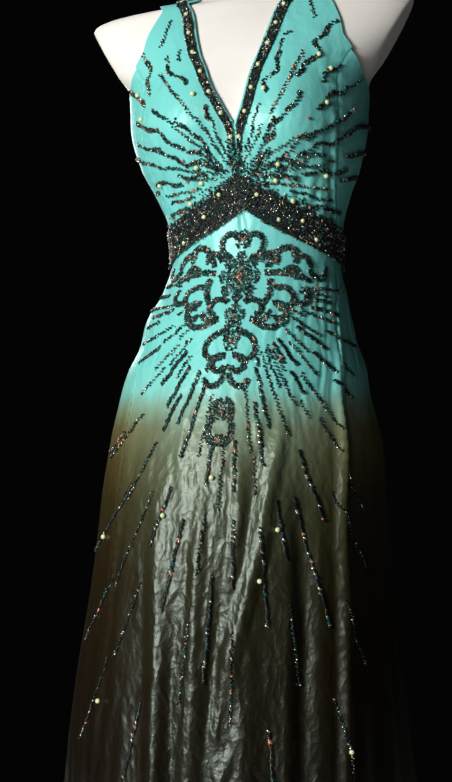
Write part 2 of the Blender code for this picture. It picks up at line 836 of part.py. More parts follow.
def build_skirt(collection, surface):
    front = skirt_points(-SIDE_FRONT, SIDE_FRONT, SKIRT_FRONT_COLUMNS)
    panel("skirt_front", front, CLOTH_WALL, surface, collection)
    pieces = (
        ("skirt_side_left", -SIDE_BACK, -SIDE_FRONT, SKIRT_SIDE_COLUMNS),
        ("skirt_side_right", SIDE_FRONT, SIDE_BACK, SKIRT_SIDE_COLUMNS),
        ("skirt_back_left", -CENTRE_BACK, -SIDE_BACK, SKIRT_BACK_COLUMNS),
        ("skirt_back_right", SIDE_BACK, CENTRE_BACK, SKIRT_BACK_COLUMNS),
    )
    for name, start, end, columns in pieces:
        panel(name, skirt_points(start, end, columns), CLOTH_WALL, surface, collection)


# The closures

def box(name, size, centre, collection, surface=None):
    """A plain box; width along X, thickness along Y, length along Z."""
    bm = bmesh.new()
    bmesh.ops.create_cube(bm, size=1.0)
    bmesh.ops.scale(bm, vec=size, verts=bm.verts)
    bmesh.ops.translate(bm, vec=centre, verts=bm.verts)
    mesh = bpy.data.meshes.new(name)
    bm.to_mesh(mesh)
    bm.free()
    if surface:
        mesh.materials.append(surface)
    obj = bpy.data.objects.new(name, mesh)
    collection.objects.link(obj)
    return obj


def boolean(obj, tool, operation):
    step = obj.modifiers.new(operation.lower(), "BOOLEAN")
    step.operation = operation
    step.solver = "EXACT"
    step.object = tool


def build_zip_chain(collection, surface, top):
    """The closed chain, with a row at each row of the back panels beside it."""
    bottom = ZIP_BOTTOM + ZIP_END_INSET
    panel_rows = [bodice_back_height(CENTRE_BACK, share) for share in back_row_shares()]
    panel_rows += skirt_heights(CENTRE_BACK)
    inner_rows = [height for height in panel_rows if bottom < height < top]
    points = []
    for height in [top] + inner_rows + [bottom]:
        radius = cloth_base(CENTRE_BACK, height).to_2d().length
        half = degrees_for(ZIP_CHAIN_WIDTH / 2, radius)
        points.append([cloth_point(CENTRE_BACK + turn, height) for turn in (-half, half)])
    panel("zip_chain", points, CLOTH_WALL, surface, collection)


def slider_place(height):
    """The slider's seat on the chain, turned to face straight out of the cloth."""
    seat = cloth_point(CENTRE_BACK, height, CLOTH_WALL + SLIDER_LIFT)
    normal = outward(cloth_base, CENTRE_BACK, height)
    return Matrix.Translation(seat) @ Matrix.Rotation(math.atan2(normal.z, normal.y), 4, "X")


def build_slider(collection, cutters, surface, place):
    """Slider with an arched bridge, which the pull hangs from."""
    slider = box(
        "zip_slider", (SLIDER_WIDTH, SLIDER_THICK, SLIDER_LENGTH), (0.0, SLIDER_THICK / 2, 0.0),
        collection, surface,
    )
    overlap = SLIDER_THICK / 2
    arch = box(
        "slider_bridge", (BRIDGE_WIDTH, BRIDGE_RISE + overlap, BRIDGE_LENGTH),
        (0.0, SLIDER_THICK + (BRIDGE_RISE - overlap) / 2, 0.0), cutters,
    )
    eye_rise = BRIDGE_RISE - BRIDGE_METAL
    eye = box(
        "slider_eye", (3 * BRIDGE_WIDTH, eye_rise, BRIDGE_LENGTH - 2 * BRIDGE_METAL),
        (0.0, SLIDER_THICK + eye_rise / 2, 0.0), cutters,
    )
    boolean(slider, arch, "UNION")
    boolean(slider, eye, "DIFFERENCE")
    for piece in (slider, arch, eye):
        piece.matrix_world = place


def pull_outline():
    """Half-round tab that flares from its hinge end, as (x, z) points about the hinge."""
    half = PULL_WIDTH / 2
    wide = half * PULL_FLARE
    top = PULL_THICK / 2
    tip = half - PULL_LENGTH
    steps = 6
    turns = [math.pi * i / steps for i in range(steps + 1)]
    rounded = [(-wide * math.cos(turn), tip - half * math.sin(turn)) for turn in turns]
    return [(-half, top), *rounded, (half, top)]


def build_pull(collection, cutters, surface, hinge):
    """Pull tab that hangs straight down, its top bar caught under the slider's bridge."""
    bm = bmesh.new()
    back_face = bm.faces.new([bm.verts.new((x, -PULL_THICK / 2, z)) for x, z in pull_outline()])
    grown = bmesh.ops.extrude_face_region(bm, geom=[back_face])
    moved = [item for item in grown["geom"] if isinstance(item, bmesh.types.BMVert)]
    bmesh.ops.translate(bm, vec=(0.0, PULL_THICK, 0.0), verts=moved)
    bmesh.ops.recalc_face_normals(bm, faces=bm.faces)
    pull = object_from("zip_pull", bm, surface, collection, smooth=False)
    hole = box(
        "pull_eye", (PULL_HOLE_WIDTH, 3 * PULL_THICK, PULL_HOLE_LENGTH),
        (0.0, 0.0, -PULL_THICK / 2 - PULL_HOLE_LENGTH / 2), cutters,
    )
    boolean(pull, hole, "DIFFERENCE")
    pull.matrix_world = hinge
    hole.matrix_world = hinge


def build_zip(collection, cutters, surface):
    """Closed zip in the back seam, its slider at the top."""
    top = curve(TOP_EDGE_CURVE, CENTRE_BACK) - ZIP_END_INSET
    build_zip_chain(collection, surface, top)
    place = slider_place(top - SLIDER_LENGTH / 2)
    build_slider(collection, cutters, surface, place)
    under_bridge = Vector((0.0, SLIDER_THICK + (BRIDGE_RISE - BRIDGE_METAL) / 2, 0.0))
    build_pull(collection, cutters, surface, Matrix.Translation(place @ under_bridge))


def build_nape_button(collection, surface):
    """Covered button that closes the two straps at the nape."""
    seat = cloth_point(CENTRE_BACK, BUTTON_HEIGHT, CLOTH_WALL + LAYER_GAP)
    normal = outward(cloth_base, CENTRE_BACK, BUTTON_HEIGHT)
    button = turned("nape_button", [
        (0.0, BUTTON_THICK),
        (BUTTON_RADIUS * 0.55, BUTTON_THICK - BUTTON_DOME * 0.3),
        (BUTTON_RADIUS * 0.9, BUTTON_THICK - BUTTON_DOME),
        (BUTTON_RADIUS, BUTTON_THICK - BUTTON_DOME * 1.6),
        (BUTTON_RADIUS * 0.8, 0.0),
        (0.0, 0.0),
    ], surface, collection, steps=16)
    facing = normal.to_track_quat("Z", "Y").to_matrix().to_4x4()
    button.matrix_world = Matrix.Translation(seat) @ facing


def main():
    collection, cutters = fresh_scene()
    turquoise = material("satin_turquoise", TURQUOISE, 0.42)
    skirt_satin = material("satin_olive", OLIVE, 0.45)
    beads = material("beadwork", BEAD_DARK, 0.25, 0.3)
    ivory = material("form_shell", IVORY, 0.45)
    chrome = material("stand_chrome", CHROME, 0.2, 1.0)
    steel = material("stand_steel", BLACK_STEEL, 0.45, 0.6)

    build_form(collection, ivory)
    build_stand(collection, steel, chrome)
    build_bodice_fronts(collection, turquoise)
    build_bodice_backs(collection, turquoise)
    build_neck_trims(collection, beads)
    build_bands(collection, beads)
    build_skirt(collection, skirt_satin)
    build_zip(collection, cutters, chrome)
    build_nape_button(collection, turquoise)
    for tool in cutters.objects:
        tool.hide_render = True
        tool.display_type = "WIRE"


main()
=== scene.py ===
"""Looks of a halter-neck evening gown on a dress form: cloth, beads, binding, zip and finishes.

Units are metres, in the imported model's frame. A place on the figure is an angle round it (0 at the
front centre, positive towards +X) and a height, as in the solids, whose named sizes are repeated here.
"""

import math
from collections import namedtuple

import bpy
import numpy as np
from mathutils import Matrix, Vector


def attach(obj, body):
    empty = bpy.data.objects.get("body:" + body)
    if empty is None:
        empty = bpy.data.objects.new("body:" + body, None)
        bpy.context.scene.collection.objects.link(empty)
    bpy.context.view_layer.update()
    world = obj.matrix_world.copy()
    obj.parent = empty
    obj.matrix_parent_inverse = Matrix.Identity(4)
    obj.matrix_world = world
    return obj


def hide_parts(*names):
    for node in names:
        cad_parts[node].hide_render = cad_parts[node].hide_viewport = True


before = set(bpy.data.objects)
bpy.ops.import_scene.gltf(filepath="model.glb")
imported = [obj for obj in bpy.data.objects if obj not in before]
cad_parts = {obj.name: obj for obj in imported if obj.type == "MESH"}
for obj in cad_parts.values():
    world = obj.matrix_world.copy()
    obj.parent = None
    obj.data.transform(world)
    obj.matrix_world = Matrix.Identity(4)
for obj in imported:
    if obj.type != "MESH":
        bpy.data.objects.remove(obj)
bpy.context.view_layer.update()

# Sizes shared with the solids
CLOTH_WALL = 0.0016
LAYER_GAP = 0.0010
EASE = 0.0030
HEM_HEIGHT = 0.018
WAIST_HEIGHT = 1.085
FORM_BOTTOM = 0.785
FORM_TOP = 1.530
TRIM_WIDTH = 0.0115
TRIM_INSET = 0.0022
TRIM_POINT_SHARE = 0.12
TRIM_POINT_LEAD = 0.25
BAND_HALF_HEIGHT = 0.0200
BAND_APEX_EXTRA = 0.0010
GATHER_START = 0.004
SIDE_FRONT = 55.0
SIDE_BACK = 125.0
CENTRE_BACK = 180.0
ZIP_BOTTOM = 0.940
ZIP_RUN_OUT = 0.010
ZIP_HALF_GAP = 0.0016
ZIP_END_INSET = 0.002
ARMHOLE_LOW_HEIGHT = 1.290
ARMHOLE_LOW_WIDTH = 0.1520
ARMHOLE_SLOPE = 0.58
SHOULDER_TILT = 0.06
TILT_LOW = 1.250
TILT_HIGH = 1.320
TILT_FADE = 1.425
TILT_END = 1.480
BUST_HEIGHT = 1.230
BUST_APART = 0.078
BUST_DEPTH = 0.031
BUST_SPREAD = 0.043
BUST_RISE = 0.056
BUST_FALL = 0.037
BLEND_LOW = 1.030
BLEND_HIGH = 1.075
ARMPIT_STATION = 8
TRIM_FIRST_STATION = 2.8
TRIM_FULL_STATION = 4.6
BAND_FADE_STATIONS = 3.0
SKIRT_EVEN_HEIGHT = 1.020

# Sizes of what only the looks have
SHELL_INSIDE = 0.0002
SHELL_OUTSIDE = 0.0010
SEAM_CLEAR = 0.00012
GROUND_INSIDE = 0.0004
GROUND_OUTSIDE = 0.0009
BINDING_RADIUS = 0.0016
SEED = 7
CURVE_SAMPLES = 6001
NECK_RADIUS = 0.06


def table(kind, *rows):
    """Named rows from plain ones."""
    return [kind(*row) for row in rows]


Section = namedtuple("Section", "height half_width front back sway")
FORM_SECTIONS = table(
    Section,
    (0.785, 0.14, 0.118, 0.1, -0.004), (0.83, 0.15, 0.131, 0.115, -0.004),
    (0.875, 0.1525, 0.135, 0.119, -0.004), (0.93, 0.1395, 0.126, 0.112, -0.002),
    (0.98, 0.124, 0.111, 0.096, 0.002), (1.03, 0.109, 0.095, 0.081, 0.004),
    (1.075, 0.1035, 0.087, 0.076, 0.0075), (1.115, 0.108, 0.086, 0.08, 0.0065),
    (1.155, 0.1215, 0.092, 0.087, 0.003), (1.19, 0.137, 0.099, 0.094, 0.0),
    (1.24, 0.1485, 0.104, 0.1, -0.002), (1.265, 0.1495, 0.102, 0.103, -0.002),
    (1.29, 0.153, 0.0985, 0.105, -0.001), (1.32, 0.179, 0.092, 0.104, 0.0),
    (1.356, 0.203, 0.079, 0.098, 0.001), (1.38, 0.2085, 0.0665, 0.088, 0.002),
    (1.387, 0.205, 0.0625, 0.0845, 0.002), (1.391, 0.195, 0.06, 0.082, 0.002),
    (1.393, 0.178, 0.0585, 0.0805, 0.002), (1.394, 0.158, 0.0575, 0.0795, 0.001),
    (1.395, 0.136, 0.0567, 0.0787, 0.001), (1.396, 0.116, 0.056, 0.078, 0.0),
    (1.398, 0.1, 0.0545, 0.0765, 0.0), (1.402, 0.089, 0.0522, 0.073, 0.0),
    (1.409, 0.0795, 0.0495, 0.0678, 0.0), (1.419, 0.0725, 0.048, 0.063, 0.0),
    (1.431, 0.067, 0.0472, 0.0595, 0.0), (1.447, 0.061, 0.0468, 0.0565, 0.0),
    (1.47, 0.057, 0.047, 0.054, 0.0), (1.53, 0.055, 0.0485, 0.053, 0.0),
)
SKIRT_SECTIONS = table(
    Section,
    (0.018, 0.272, 0.256, 0.234, -0.01), (0.2, 0.248, 0.239, 0.215, -0.012),
    (0.394, 0.221, 0.219, 0.193, -0.014), (0.466, 0.214, 0.211, 0.186, -0.016),
    (0.528, 0.2075, 0.203, 0.178, -0.016), (0.652, 0.1915, 0.187, 0.1625, -0.013),
    (0.714, 0.1855, 0.18, 0.156, -0.011), (0.776, 0.1805, 0.171, 0.15, -0.009),
    (0.838, 0.1735, 0.1595, 0.139, -0.006), (0.9, 0.1585, 0.142, 0.125, -0.007),
    (0.931, 0.1505, 0.1335, 0.118, -0.005), (0.962, 0.138, 0.124, 0.108, -0.002),
    (0.993, 0.1305, 0.114, 0.098, -0.002), (1.03, 0.1165, 0.1005, 0.086, 0.0045),
    (1.075, 0.108, 0.0912, 0.0802, 0.0075), (1.115, 0.1122, 0.0902, 0.0842, 0.0065),
)

# Curves on the cloth as pairs: height and angle for the seam, angle and height for the band's middle,
# panel angle and height for the back's top edge
SIDE_FRONT_SEAM = (
    (0.018, 39.0), (0.394, 44.0), (0.54, 46.5), (0.656, 48.0), (0.774, 49.5), (0.894, 54.0),
    (0.992, 64.0), (1.05, 73.5), (1.085, 79.0), (1.113, 74.0), (1.145, 66.0), (1.185, 58.5),
    (1.222, 55.5), (1.252, 53.5), (1.278, 51.5), (1.298, 50.0), (1.316, 49.0),
)
BAND_LINE = (
    (0.0, 1.15), (11.0, 1.134), (20.0, 1.124), (35.0, 1.111), (56.0, 1.097), (79.0, 1.085),
    (105.0, 1.079), (180.0, 1.073),
)
BACK_TOP_EDGE = (
    (55.0, 1.316), (65.0, 1.3045), (78.0, 1.291), (92.0, 1.274), (108.0, 1.24), (125.0, 1.2),
    (150.0, 1.166), (180.0, 1.152),
)

Station = namedtuple("Station", "neck_angle neck_height arm_angle arm_height lean")
FRONT_STATIONS = table(
    Station,
    (0.0, 1.15, 79.0, 1.085, 0.0), (0.0, 1.168, 74.0, 1.113, 0.0), (0.0, 1.186, 66.0, 1.145, 0.0),
    (0.0, 1.203, 58.5, 1.185, 0.0), (0.0, 1.222, 55.5, 1.222, 0.0), (3.6, 1.244, 53.5, 1.252, 0.8),
    (7.4, 1.268, 51.5, 1.278, 2.4), (9.9, 1.29, 50.0, 1.298, 3.4), (11.6, 1.312, 49.0, 1.316, 3.4),
    (12.6, 1.335, 40.5, 1.335, 3.2), (13.4, 1.357, 36.0, 1.355, 3.0), (14.6, 1.375, 32.5, 1.372, 3.0),
    (16.6, 1.3865, 30.5, 1.384, 3.0), (20.5, 1.393, 33.0, 1.3905, 2.7),
    (31.0, 1.397, 42.0, 1.3938, 2.6), (41.0, 1.4025, 54.5, 1.395, 1.8),
    (50.5, 1.409, 70.0, 1.3958, 0.8), (64.0, 1.418, 92.0, 1.397, 0.0), (90.0, 1.431, 115.0, 1.401, 0.0),
    (120.0, 1.441, 137.0, 1.408, 0.0), (150.0, 1.449, 160.0, 1.417, 0.0),
    (180.0, 1.454, 180.0, 1.424, 0.0),
)

Fold = namedtuple("Fold", "panel_angle half_width depth top")
SKIRT_FOLDS = table(
    Fold,
    (-180.0, 9.0, 0.012, 0.93), (-164.0, 8.0, 0.015, 0.88), (-145.0, 9.0, 0.011, 0.9),
    (-125.0, 9.0, 0.013, 0.9), (-107.0, 8.0, 0.01, 0.84), (-90.0, 8.5, 0.013, 0.8),
    (-72.0, 8.5, 0.01, 0.86), (-55.0, 8.0, 0.011, 0.9), (-38.0, 7.5, 0.008, 0.82),
    (-20.0, 8.0, 0.014, 0.9), (-3.0, 7.0, 0.009, 0.8), (13.0, 7.5, 0.013, 0.86),
    (31.0, 8.0, 0.01, 0.92), (47.0, 7.0, 0.008, 0.78), (57.0, 6.5, 0.01, 0.93),
    (74.0, 8.5, 0.012, 0.84), (91.0, 8.0, 0.01, 0.8), (108.0, 8.5, 0.013, 0.88),
    (125.0, 8.5, 0.01, 0.9), (144.0, 9.0, 0.014, 0.88), (163.0, 8.0, 0.011, 0.91),
)

Gather = namedtuple("Gather", "angle half_width depth reach")
BODICE_GATHERS = table(
    Gather,
    (6.0, 4.5, 0.0022, 0.05), (17.0, 5.0, 0.0026, 0.07), (29.0, 5.0, 0.0022, 0.08),
    (41.0, 5.5, 0.0026, 0.075), (54.0, 5.5, 0.002, 0.06),
)

# The camera, which also turns pixels of the 452 x 782 photograph into places on the gown
PHOTO_WIDTH = 452
PHOTO_HEIGHT = 782
CAMERA_AZIMUTH = 9.0
CAMERA_AWAY = 1.95
CAMERA_HEIGHT = 0.905
LENS = 70.0
SENSOR = 36.0
SHIFT_X = -0.032
FOCAL_PIXELS = LENS / SENSOR * PHOTO_HEIGHT
AXIS_PIXEL = PHOTO_WIDTH / 2 - SHIFT_X * PHOTO_HEIGHT


# Curves through tables, on whole arrays

def smooth_curve(points):
    """Function for the smooth curve through (x, value) points, never past a point between two."""
    xs, ys = np.array(points, float).T
    steps = np.diff(xs)
    slopes = np.diff(ys) / steps
    tangents = np.zeros(len(xs))
    before = slopes[:-1]
    after = slopes[1:]
    same_way = before * after > 0
    both = np.where(same_way, before + after, 1.0)
    tangents[1:-1] = np.where(same_way, 2 * before * after / both, 0.0)
    tangents[[0, -1]] = slopes[[0, -1]]

    dense = np.linspace(xs[0], xs[-1], CURVE_SAMPLES)
    i = np.clip(np.searchsorted(xs, dense) - 1, 0, len(steps) - 1)
    t = (dense - xs[i]) / steps[i]
    values = (
        (2 * t**3 - 3 * t**2 + 1) * ys[i]
        + (t**3 - 2 * t**2 + t) * tangents[i] * steps[i]
        + (-2 * t**3 + 3 * t**2) * ys[i + 1]
        + (t**3 - t**2) * tangents[i + 1] * steps[i]
    )
    return lambda x: np.interp(x, dense, values)


def curves_of(rows, xs):
    """A curve through each column of a table, against the places in xs."""
    return {
        name: smooth_curve([(x, getattr(row, name)) for x, row in zip(xs, rows)])
        for name in rows[0]._fields
    }


FORM = curves_of(FORM_SECTIONS, [row.height for row in FORM_SECTIONS])
SKIRT = curves_of(SKIRT_SECTIONS, [row.height for row in SKIRT_SECTIONS])
STATIONS = curves_of(FRONT_STATIONS, range(len(FRONT_STATIONS)))
SEAM_ANGLE = smooth_curve(SIDE_FRONT_SEAM)
BAND_HEIGHT = smooth_curve(BAND_LINE)
TOP_EDGE = smooth_curve(BACK_TOP_EDGE)


def smoothstep(t):
    t = np.clip(t, 0.0, 1.0)
    return t * t * (3 - 2 * t)


def bump(distance, half_width):
    """1 at distance 0, falling smoothly to 0 at half_width."""
    t = np.clip(np.abs(distance) / half_width, 0.0, 1.0)
    return 0.5 + 0.5 * np.cos(np.pi * t)


def unit(vectors):
    return vectors / np.linalg.norm(vectors, axis=-1, keepdims=True)


# The figure and the cloth on it

def section_point(curves, angle, height):
    turn = np.radians(angle)
    depth = np.where(np.cos(turn) >= 0, curves["front"](height), curves["back"](height))
    across = curves["sway"](height) + curves["half_width"](height) * np.sin(turn)
    return np.stack([across, -depth * np.cos(turn), height + 0.0 * turn], axis=-1)


def form_point(angle, height):
    """Points on the dress form, with its bust and its flat arm cuts."""
    point = section_point(FORM, angle, height)
    spread = np.where(height > BUST_HEIGHT, BUST_RISE, BUST_FALL)
    rise = np.exp(-(((height - BUST_HEIGHT) / spread) ** 2) / 2)
    facing = (1 + np.cos(np.radians(angle))) / 2
    for side in (-1, 1):
        across = (point[..., 0] - side * BUST_APART) / BUST_SPREAD
        point[..., 1] -= BUST_DEPTH * rise * facing * np.exp(-across * across / 2)
    widest = ARMHOLE_LOW_WIDTH + (height - ARMHOLE_LOW_HEIGHT) * ARMHOLE_SLOPE
    cut = np.clip(point[..., 0], -widest, widest)
    point[..., 0] = np.where(height > ARMHOLE_LOW_HEIGHT, cut, point[..., 0])
    tilt = smoothstep((height - TILT_LOW) / (TILT_HIGH - TILT_LOW))
    tilt = tilt * (1 - smoothstep((height - TILT_FADE) / (TILT_END - TILT_FADE)))
    point[..., 2] += SHOULDER_TILT * tilt * point[..., 0]
    return point


def outward(surface, angle, height, step=0.0004):
    """Unit normals of a surface function."""
    turn = math.degrees(step / 0.1)
    along = surface(angle + turn, height) - surface(angle - turn, height)
    up = surface(angle, height + step) - surface(angle, height - step)
    return unit(np.cross(along, up))


def cloth_base(angle, height):
    """Inner face of the cloth with no folds."""
    over_form = form_point(angle, height) + outward(form_point, angle, height) * EASE
    hanging = section_point(SKIRT, angle, height)
    share = smoothstep((height - BLEND_LOW) / (BLEND_HIGH - BLEND_LOW))
    return hanging + (over_form - hanging) * share[..., None]


def angle_of(panel_angle, height):
    """Angle round the figure of a panel angle, which holds each seam at one value."""
    away = np.abs(panel_angle)
    seam = SEAM_ANGLE(height)
    front = away / SIDE_FRONT * seam
    side = seam + (away - SIDE_FRONT) / (SIDE_BACK - SIDE_FRONT) * (SIDE_BACK - seam)
    angle = np.where(away <= SIDE_FRONT, front, np.where(away <= SIDE_BACK, side, away))
    return np.copysign(angle, panel_angle)


def panel_of(angle, height):
    """Panel angle of an angle round the figure."""
    away = np.abs(angle)
    seam = SEAM_ANGLE(height)
    front = away / seam * SIDE_FRONT
    side = SIDE_FRONT + (away - seam) / (SIDE_BACK - seam) * (SIDE_BACK - SIDE_FRONT)
    panel = np.where(away <= seam, front, np.where(away <= SIDE_BACK, side, away))
    return np.copysign(panel, angle)


def band_height(angle):
    return BAND_HEIGHT(np.abs(angle))


def band_half_height(angle):
    return BAND_HALF_HEIGHT + BAND_APEX_EXTRA * bump(angle, 30.0)


def fold_depth(panel_angle, height):
    """How far the skirt's large folds lift the cloth."""
    total = 0.0
    for fold in SKIRT_FOLDS:
        apart = (panel_angle - fold.panel_angle + 180) % 360 - 180
        fall = smoothstep((fold.top - height) / (fold.top - HEM_HEIGHT))
        total = total + fold.depth * (0.25 + 0.75 * fall) * fall**0.5 * bump(apart, fold.half_width)
    return total


def gather_depth(angle, height):
    """How far the bodice's gathers lift the cloth, fading out above the band."""
    total = 0.0
    start = band_height(angle) + band_half_height(angle) + GATHER_START
    for gather in BODICE_GATHERS:
        above = np.clip((height - start) / gather.reach, 0.0, 1.0)
        fade = np.sin(np.pi * above**0.6) ** 2
        total = total + gather.depth * fade * bump(np.abs(angle) - gather.angle, gather.half_width)
    return total


def smooth_cloth(angle, height, lift=0.0):
    """The cloth with its large folds and gathers, without the small creases."""
    panel_angle = panel_of(angle, height)
    out = lift + fold_depth(panel_angle, height) + gather_depth(angle, height)
    return cloth_base(angle, height) + outward(cloth_base, angle, height) * out[..., None]


# Pixels of the photograph and places on the gown

def camera_axes():
    turn = math.radians(CAMERA_AZIMUTH)
    right = np.array([math.cos(turn), math.sin(turn), 0.0])
    back = np.array([math.sin(turn), -math.cos(turn), 0.0])
    return right, back


def pixel_of(points):
    """Photograph pixels (x, y) of points in the frame."""
    right, back = camera_axes()
    away = CAMERA_AWAY - points @ back
    x = AXIS_PIXEL + FOCAL_PIXELS * (points @ right) / away
    y = PHOTO_HEIGHT / 2 - FOCAL_PIXELS * (points[..., 2] - CAMERA_HEIGHT) / away
    return np.stack([x, y], axis=-1)


def place_at_pixel(x, y):
    """Angle and height of the places on the gown that these pixels show, found by stepping to them."""
    scale = (CAMERA_AWAY - 0.12) / FOCAL_PIXELS
    height = CAMERA_HEIGHT + (PHOTO_HEIGHT / 2 - y) * scale
    half_width = np.where(height > 1.1, FORM["half_width"](height), SKIRT["half_width"](height))
    angle = np.degrees(np.arcsin(np.clip((x - AXIS_PIXEL + 6) * scale / half_width, -0.9, 0.9)))
    for _ in range(10):
        here = pixel_of(smooth_cloth(angle, height))
        by_angle = (pixel_of(smooth_cloth(angle + 0.4, height)) - here) / 0.4
        by_height = (pixel_of(smooth_cloth(angle, height + 0.001)) - here) / 0.001
        miss_x = x - here[..., 0]
        miss_y = y - here[..., 1]
        area = by_angle[..., 0] * by_height[..., 1] - by_angle[..., 1] * by_height[..., 0]
        area = np.where(np.abs(area) < 1.0, np.copysign(1.0, area), area)
        turn = (miss_x * by_height[..., 1] - miss_y * by_height[..., 0]) / area
        rise = (miss_y * by_angle[..., 0] - miss_x * by_angle[..., 1]) / area
        angle = np.clip(angle + np.clip(turn, -6, 6), -82, 98)
        height = np.clip(height + np.clip(rise, -0.02, 0.02), 0.3, 1.42)
    return angle, height


def places_of(pixels):
    return place_at_pixel(*np.array(pixels, float).T)


# Small creases of the cloth: ridges have a positive depth and troughs a negative one

PhotoCrease = namedtuple("PhotoCrease", "path half_width depth")
SKIRT_CREASES = table(
    PhotoCrease,
    (((178, 428), (160, 490), (156, 580), (155, 680), (152, 781)), 0.02, 0.0065),
    (((206, 440), (200, 520), (195, 600), (190, 700), (185, 781)), 0.014, 0.0045),
    (((286, 392), (273, 465), (262, 540), (246, 600), (232, 650), (226, 720)), 0.017, 0.0065),
    (((338, 290), (338, 400), (341, 520), (344, 600), (345, 700), (343, 781)), 0.015, 0.0092),
    (((240, 445), (238, 520), (231, 600)), 0.012, 0.0032),
    (((249, 712), (232, 750), (222, 781)), 0.013, 0.0045),
    (((133, 500), (123, 600), (113, 700), (104, 781)), 0.018, 0.003),
    (((300, 430), (302, 520), (304, 600), (304, 650), (303, 700), (302, 781)), 0.024, -0.009),
    (((223, 540), (215, 640), (207, 720), (203, 781)), 0.014, -0.005),
    (((177, 560), (172, 650), (168, 781)), 0.012, -0.0035),
    (((140, 430), (122, 520), (108, 620)), 0.014, -0.0025),
    (((256, 430), (252, 500), (242, 560)), 0.011, -0.0035),
    (((195, 390), (183, 430), (178, 470)), 0.01, 0.0022),
    (((262, 395), (257, 440), (254, 480)), 0.009, 0.0018),
)
BODICE_CREASES = table(
    PhotoCrease,
    (((331, 95), (334, 160), (335, 222)), 0.006, 0.0016),
    (((319, 125), (322, 175), (320, 206)), 0.006, 0.0012),
    (((306, 140), (307, 170), (304, 200)), 0.005, -0.0009),
    (((230, 138), (226, 158), (222, 180)), 0.004, 0.0012),
    (((214, 130), (214, 158), (212, 184)), 0.005, 0.001),
    (((200, 142), (202, 168), (202, 190)), 0.005, -0.001),
    (((188, 138), (190, 165), (192, 196)), 0.006, 0.0011),
    (((176, 145), (180, 172), (182, 204)), 0.006, -0.0009),
    (((160, 150), (168, 178), (172, 212)), 0.006, 0.0012),
    (((247, 146), (250, 166), (252, 182)), 0.004, 0.0012),
    (((262, 140), (264, 165), (266, 186)), 0.005, -0.0008),
    (((278, 138), (280, 165), (282, 194)), 0.005, 0.001),
    (((180, 20), (172, 60), (160, 100)), 0.01, 0.0012),
    (((310, 20), (322, 60), (336, 95)), 0.01, 0.0012),
)

Crease = namedtuple("Crease", "heights panels half_width depth open_low")


def crease_from_photo(crease):
    """A crease on the gown from its path in the photograph; one that leaves the picture runs to the hem."""
    angle, height = places_of(crease.path)
    panels = list(panel_of(angle, height)[::-1])
    heights = list(height[::-1])
    leaves = crease.path[-1][1] >= PHOTO_HEIGHT - 1
    if leaves:
        panels.insert(0, panels[0])
        heights.insert(0, 0.0)
    return Crease(heights, panels, crease.half_width, crease.depth, leaves)


def up_or_down(rng, low, high):
    """A random depth, as often of a ridge as of a trough."""
    return rng.choice((-1, 1)) * rng.uniform(low, high)


def hidden_creases(low, high, step, rng):
    """Soft creases from the hip to the hem where the photograph doesn't look."""
    found = []
    for panel in np.arange(low, high, step):
        top = rng.uniform(0.66, 0.90)
        centre = panel + rng.uniform(-0.3, 0.3) * step
        panels = list(centre + rng.uniform(-2.0, 2.0, 4))
        depth = up_or_down(rng, 0.002, 0.0055)
        heights = [0.0, top * 0.35, top * 0.7, top]
        found.append(Crease(heights, panels, rng.uniform(0.010, 0.018), depth, True))
    return found


Crinkle = namedtuple("Crinkle", "panel height turn length half_width depth bow")


def crinkles(low, high, count, rng):
    """Short fine creases, mostly near upright, more and deeper towards the hem."""
    found = []
    for _ in range(count):
        height = 0.04 + 0.90 * rng.random() ** 1.15
        crosswise = rng.random() < 0.25
        turn = math.radians(rng.normal(0, 16) if crosswise else rng.normal(90, 20))
        length = rng.uniform(0.010, 0.028) if crosswise else rng.uniform(0.018, 0.060)
        strength = 1.0 - 0.75 * float(smoothstep((height - 0.80) / 0.14))
        depth = up_or_down(rng, 0.0001, 0.0005) * strength
        half_width = rng.uniform(0.0036, 0.0070)
        panel = rng.uniform(low, high)
        found.append(Crinkle(panel, height, turn, length, half_width, depth, rng.normal(0, 6)))
    return found


UprightFolds = namedtuple("UprightFolds", "tilt depths lengths half_widths bow")
HIP_PLEATS = UprightFolds(7, (0.0006, 0.0014), (0.03, 0.07), (0.004, 0.008), 3)
BODICE_WRINKLES = UprightFolds(12, (0.0006, 0.0015), (0.015, 0.040), (0.0030, 0.0060), 4)


def upright_fold(kind, height, low, high, share, rng):
    """A near upright crinkle between two panel angles, at a share of the kind's full depth."""
    turn = math.radians(rng.normal(90, kind.tilt))
    depth = up_or_down(rng, *kind.depths) * share
    panel = rng.uniform(low, high)
    length = rng.uniform(*kind.lengths)
    half_width = rng.uniform(*kind.half_widths)
    return Crinkle(panel, height, turn, length, half_width, depth, rng.normal(0, kind.bow))


def pleats(low, high, count, rng):
    """Shallow upright folds of the skirt's turquoise top, over the hip."""
    found = []
    for _ in range(count):
        height = rng.uniform(0.87, 1.03)
        found.append(upright_fold(HIP_PLEATS, height, low, high, 1.0, rng))
    return found


def bodice_wrinkles(count, rng):
    """Fine upright wrinkles of the bodice fronts, closest and deepest just above the band."""
    found = []
    for _ in range(count):
        height = 1.115 + 0.20 * rng.random() ** 1.7
        share = (1.33 - height) / 0.20
        found.append(upright_fold(BODICE_WRINKLES, height, -56, 56, share, rng))
    return found


def all_creases():
    rng = np.random.default_rng(SEED)
    found = [crease_from_photo(crease) for crease in SKIRT_CREASES + BODICE_CREASES]
    return found + hidden_creases(60, 300, 11, rng)


def all_crinkles():
    rng = np.random.default_rng(SEED + 1)
    found = crinkles(-58, 58, 420, rng) + crinkles(58, 302, 420, rng)
    found += pleats(12, 62, 26, rng) + pleats(-60, 12, 18, rng) + pleats(62, 298, 60, rng)
    return found + bodice_wrinkles(110, rng)


CREASES = all_creases()
CRINKLES = all_crinkles()
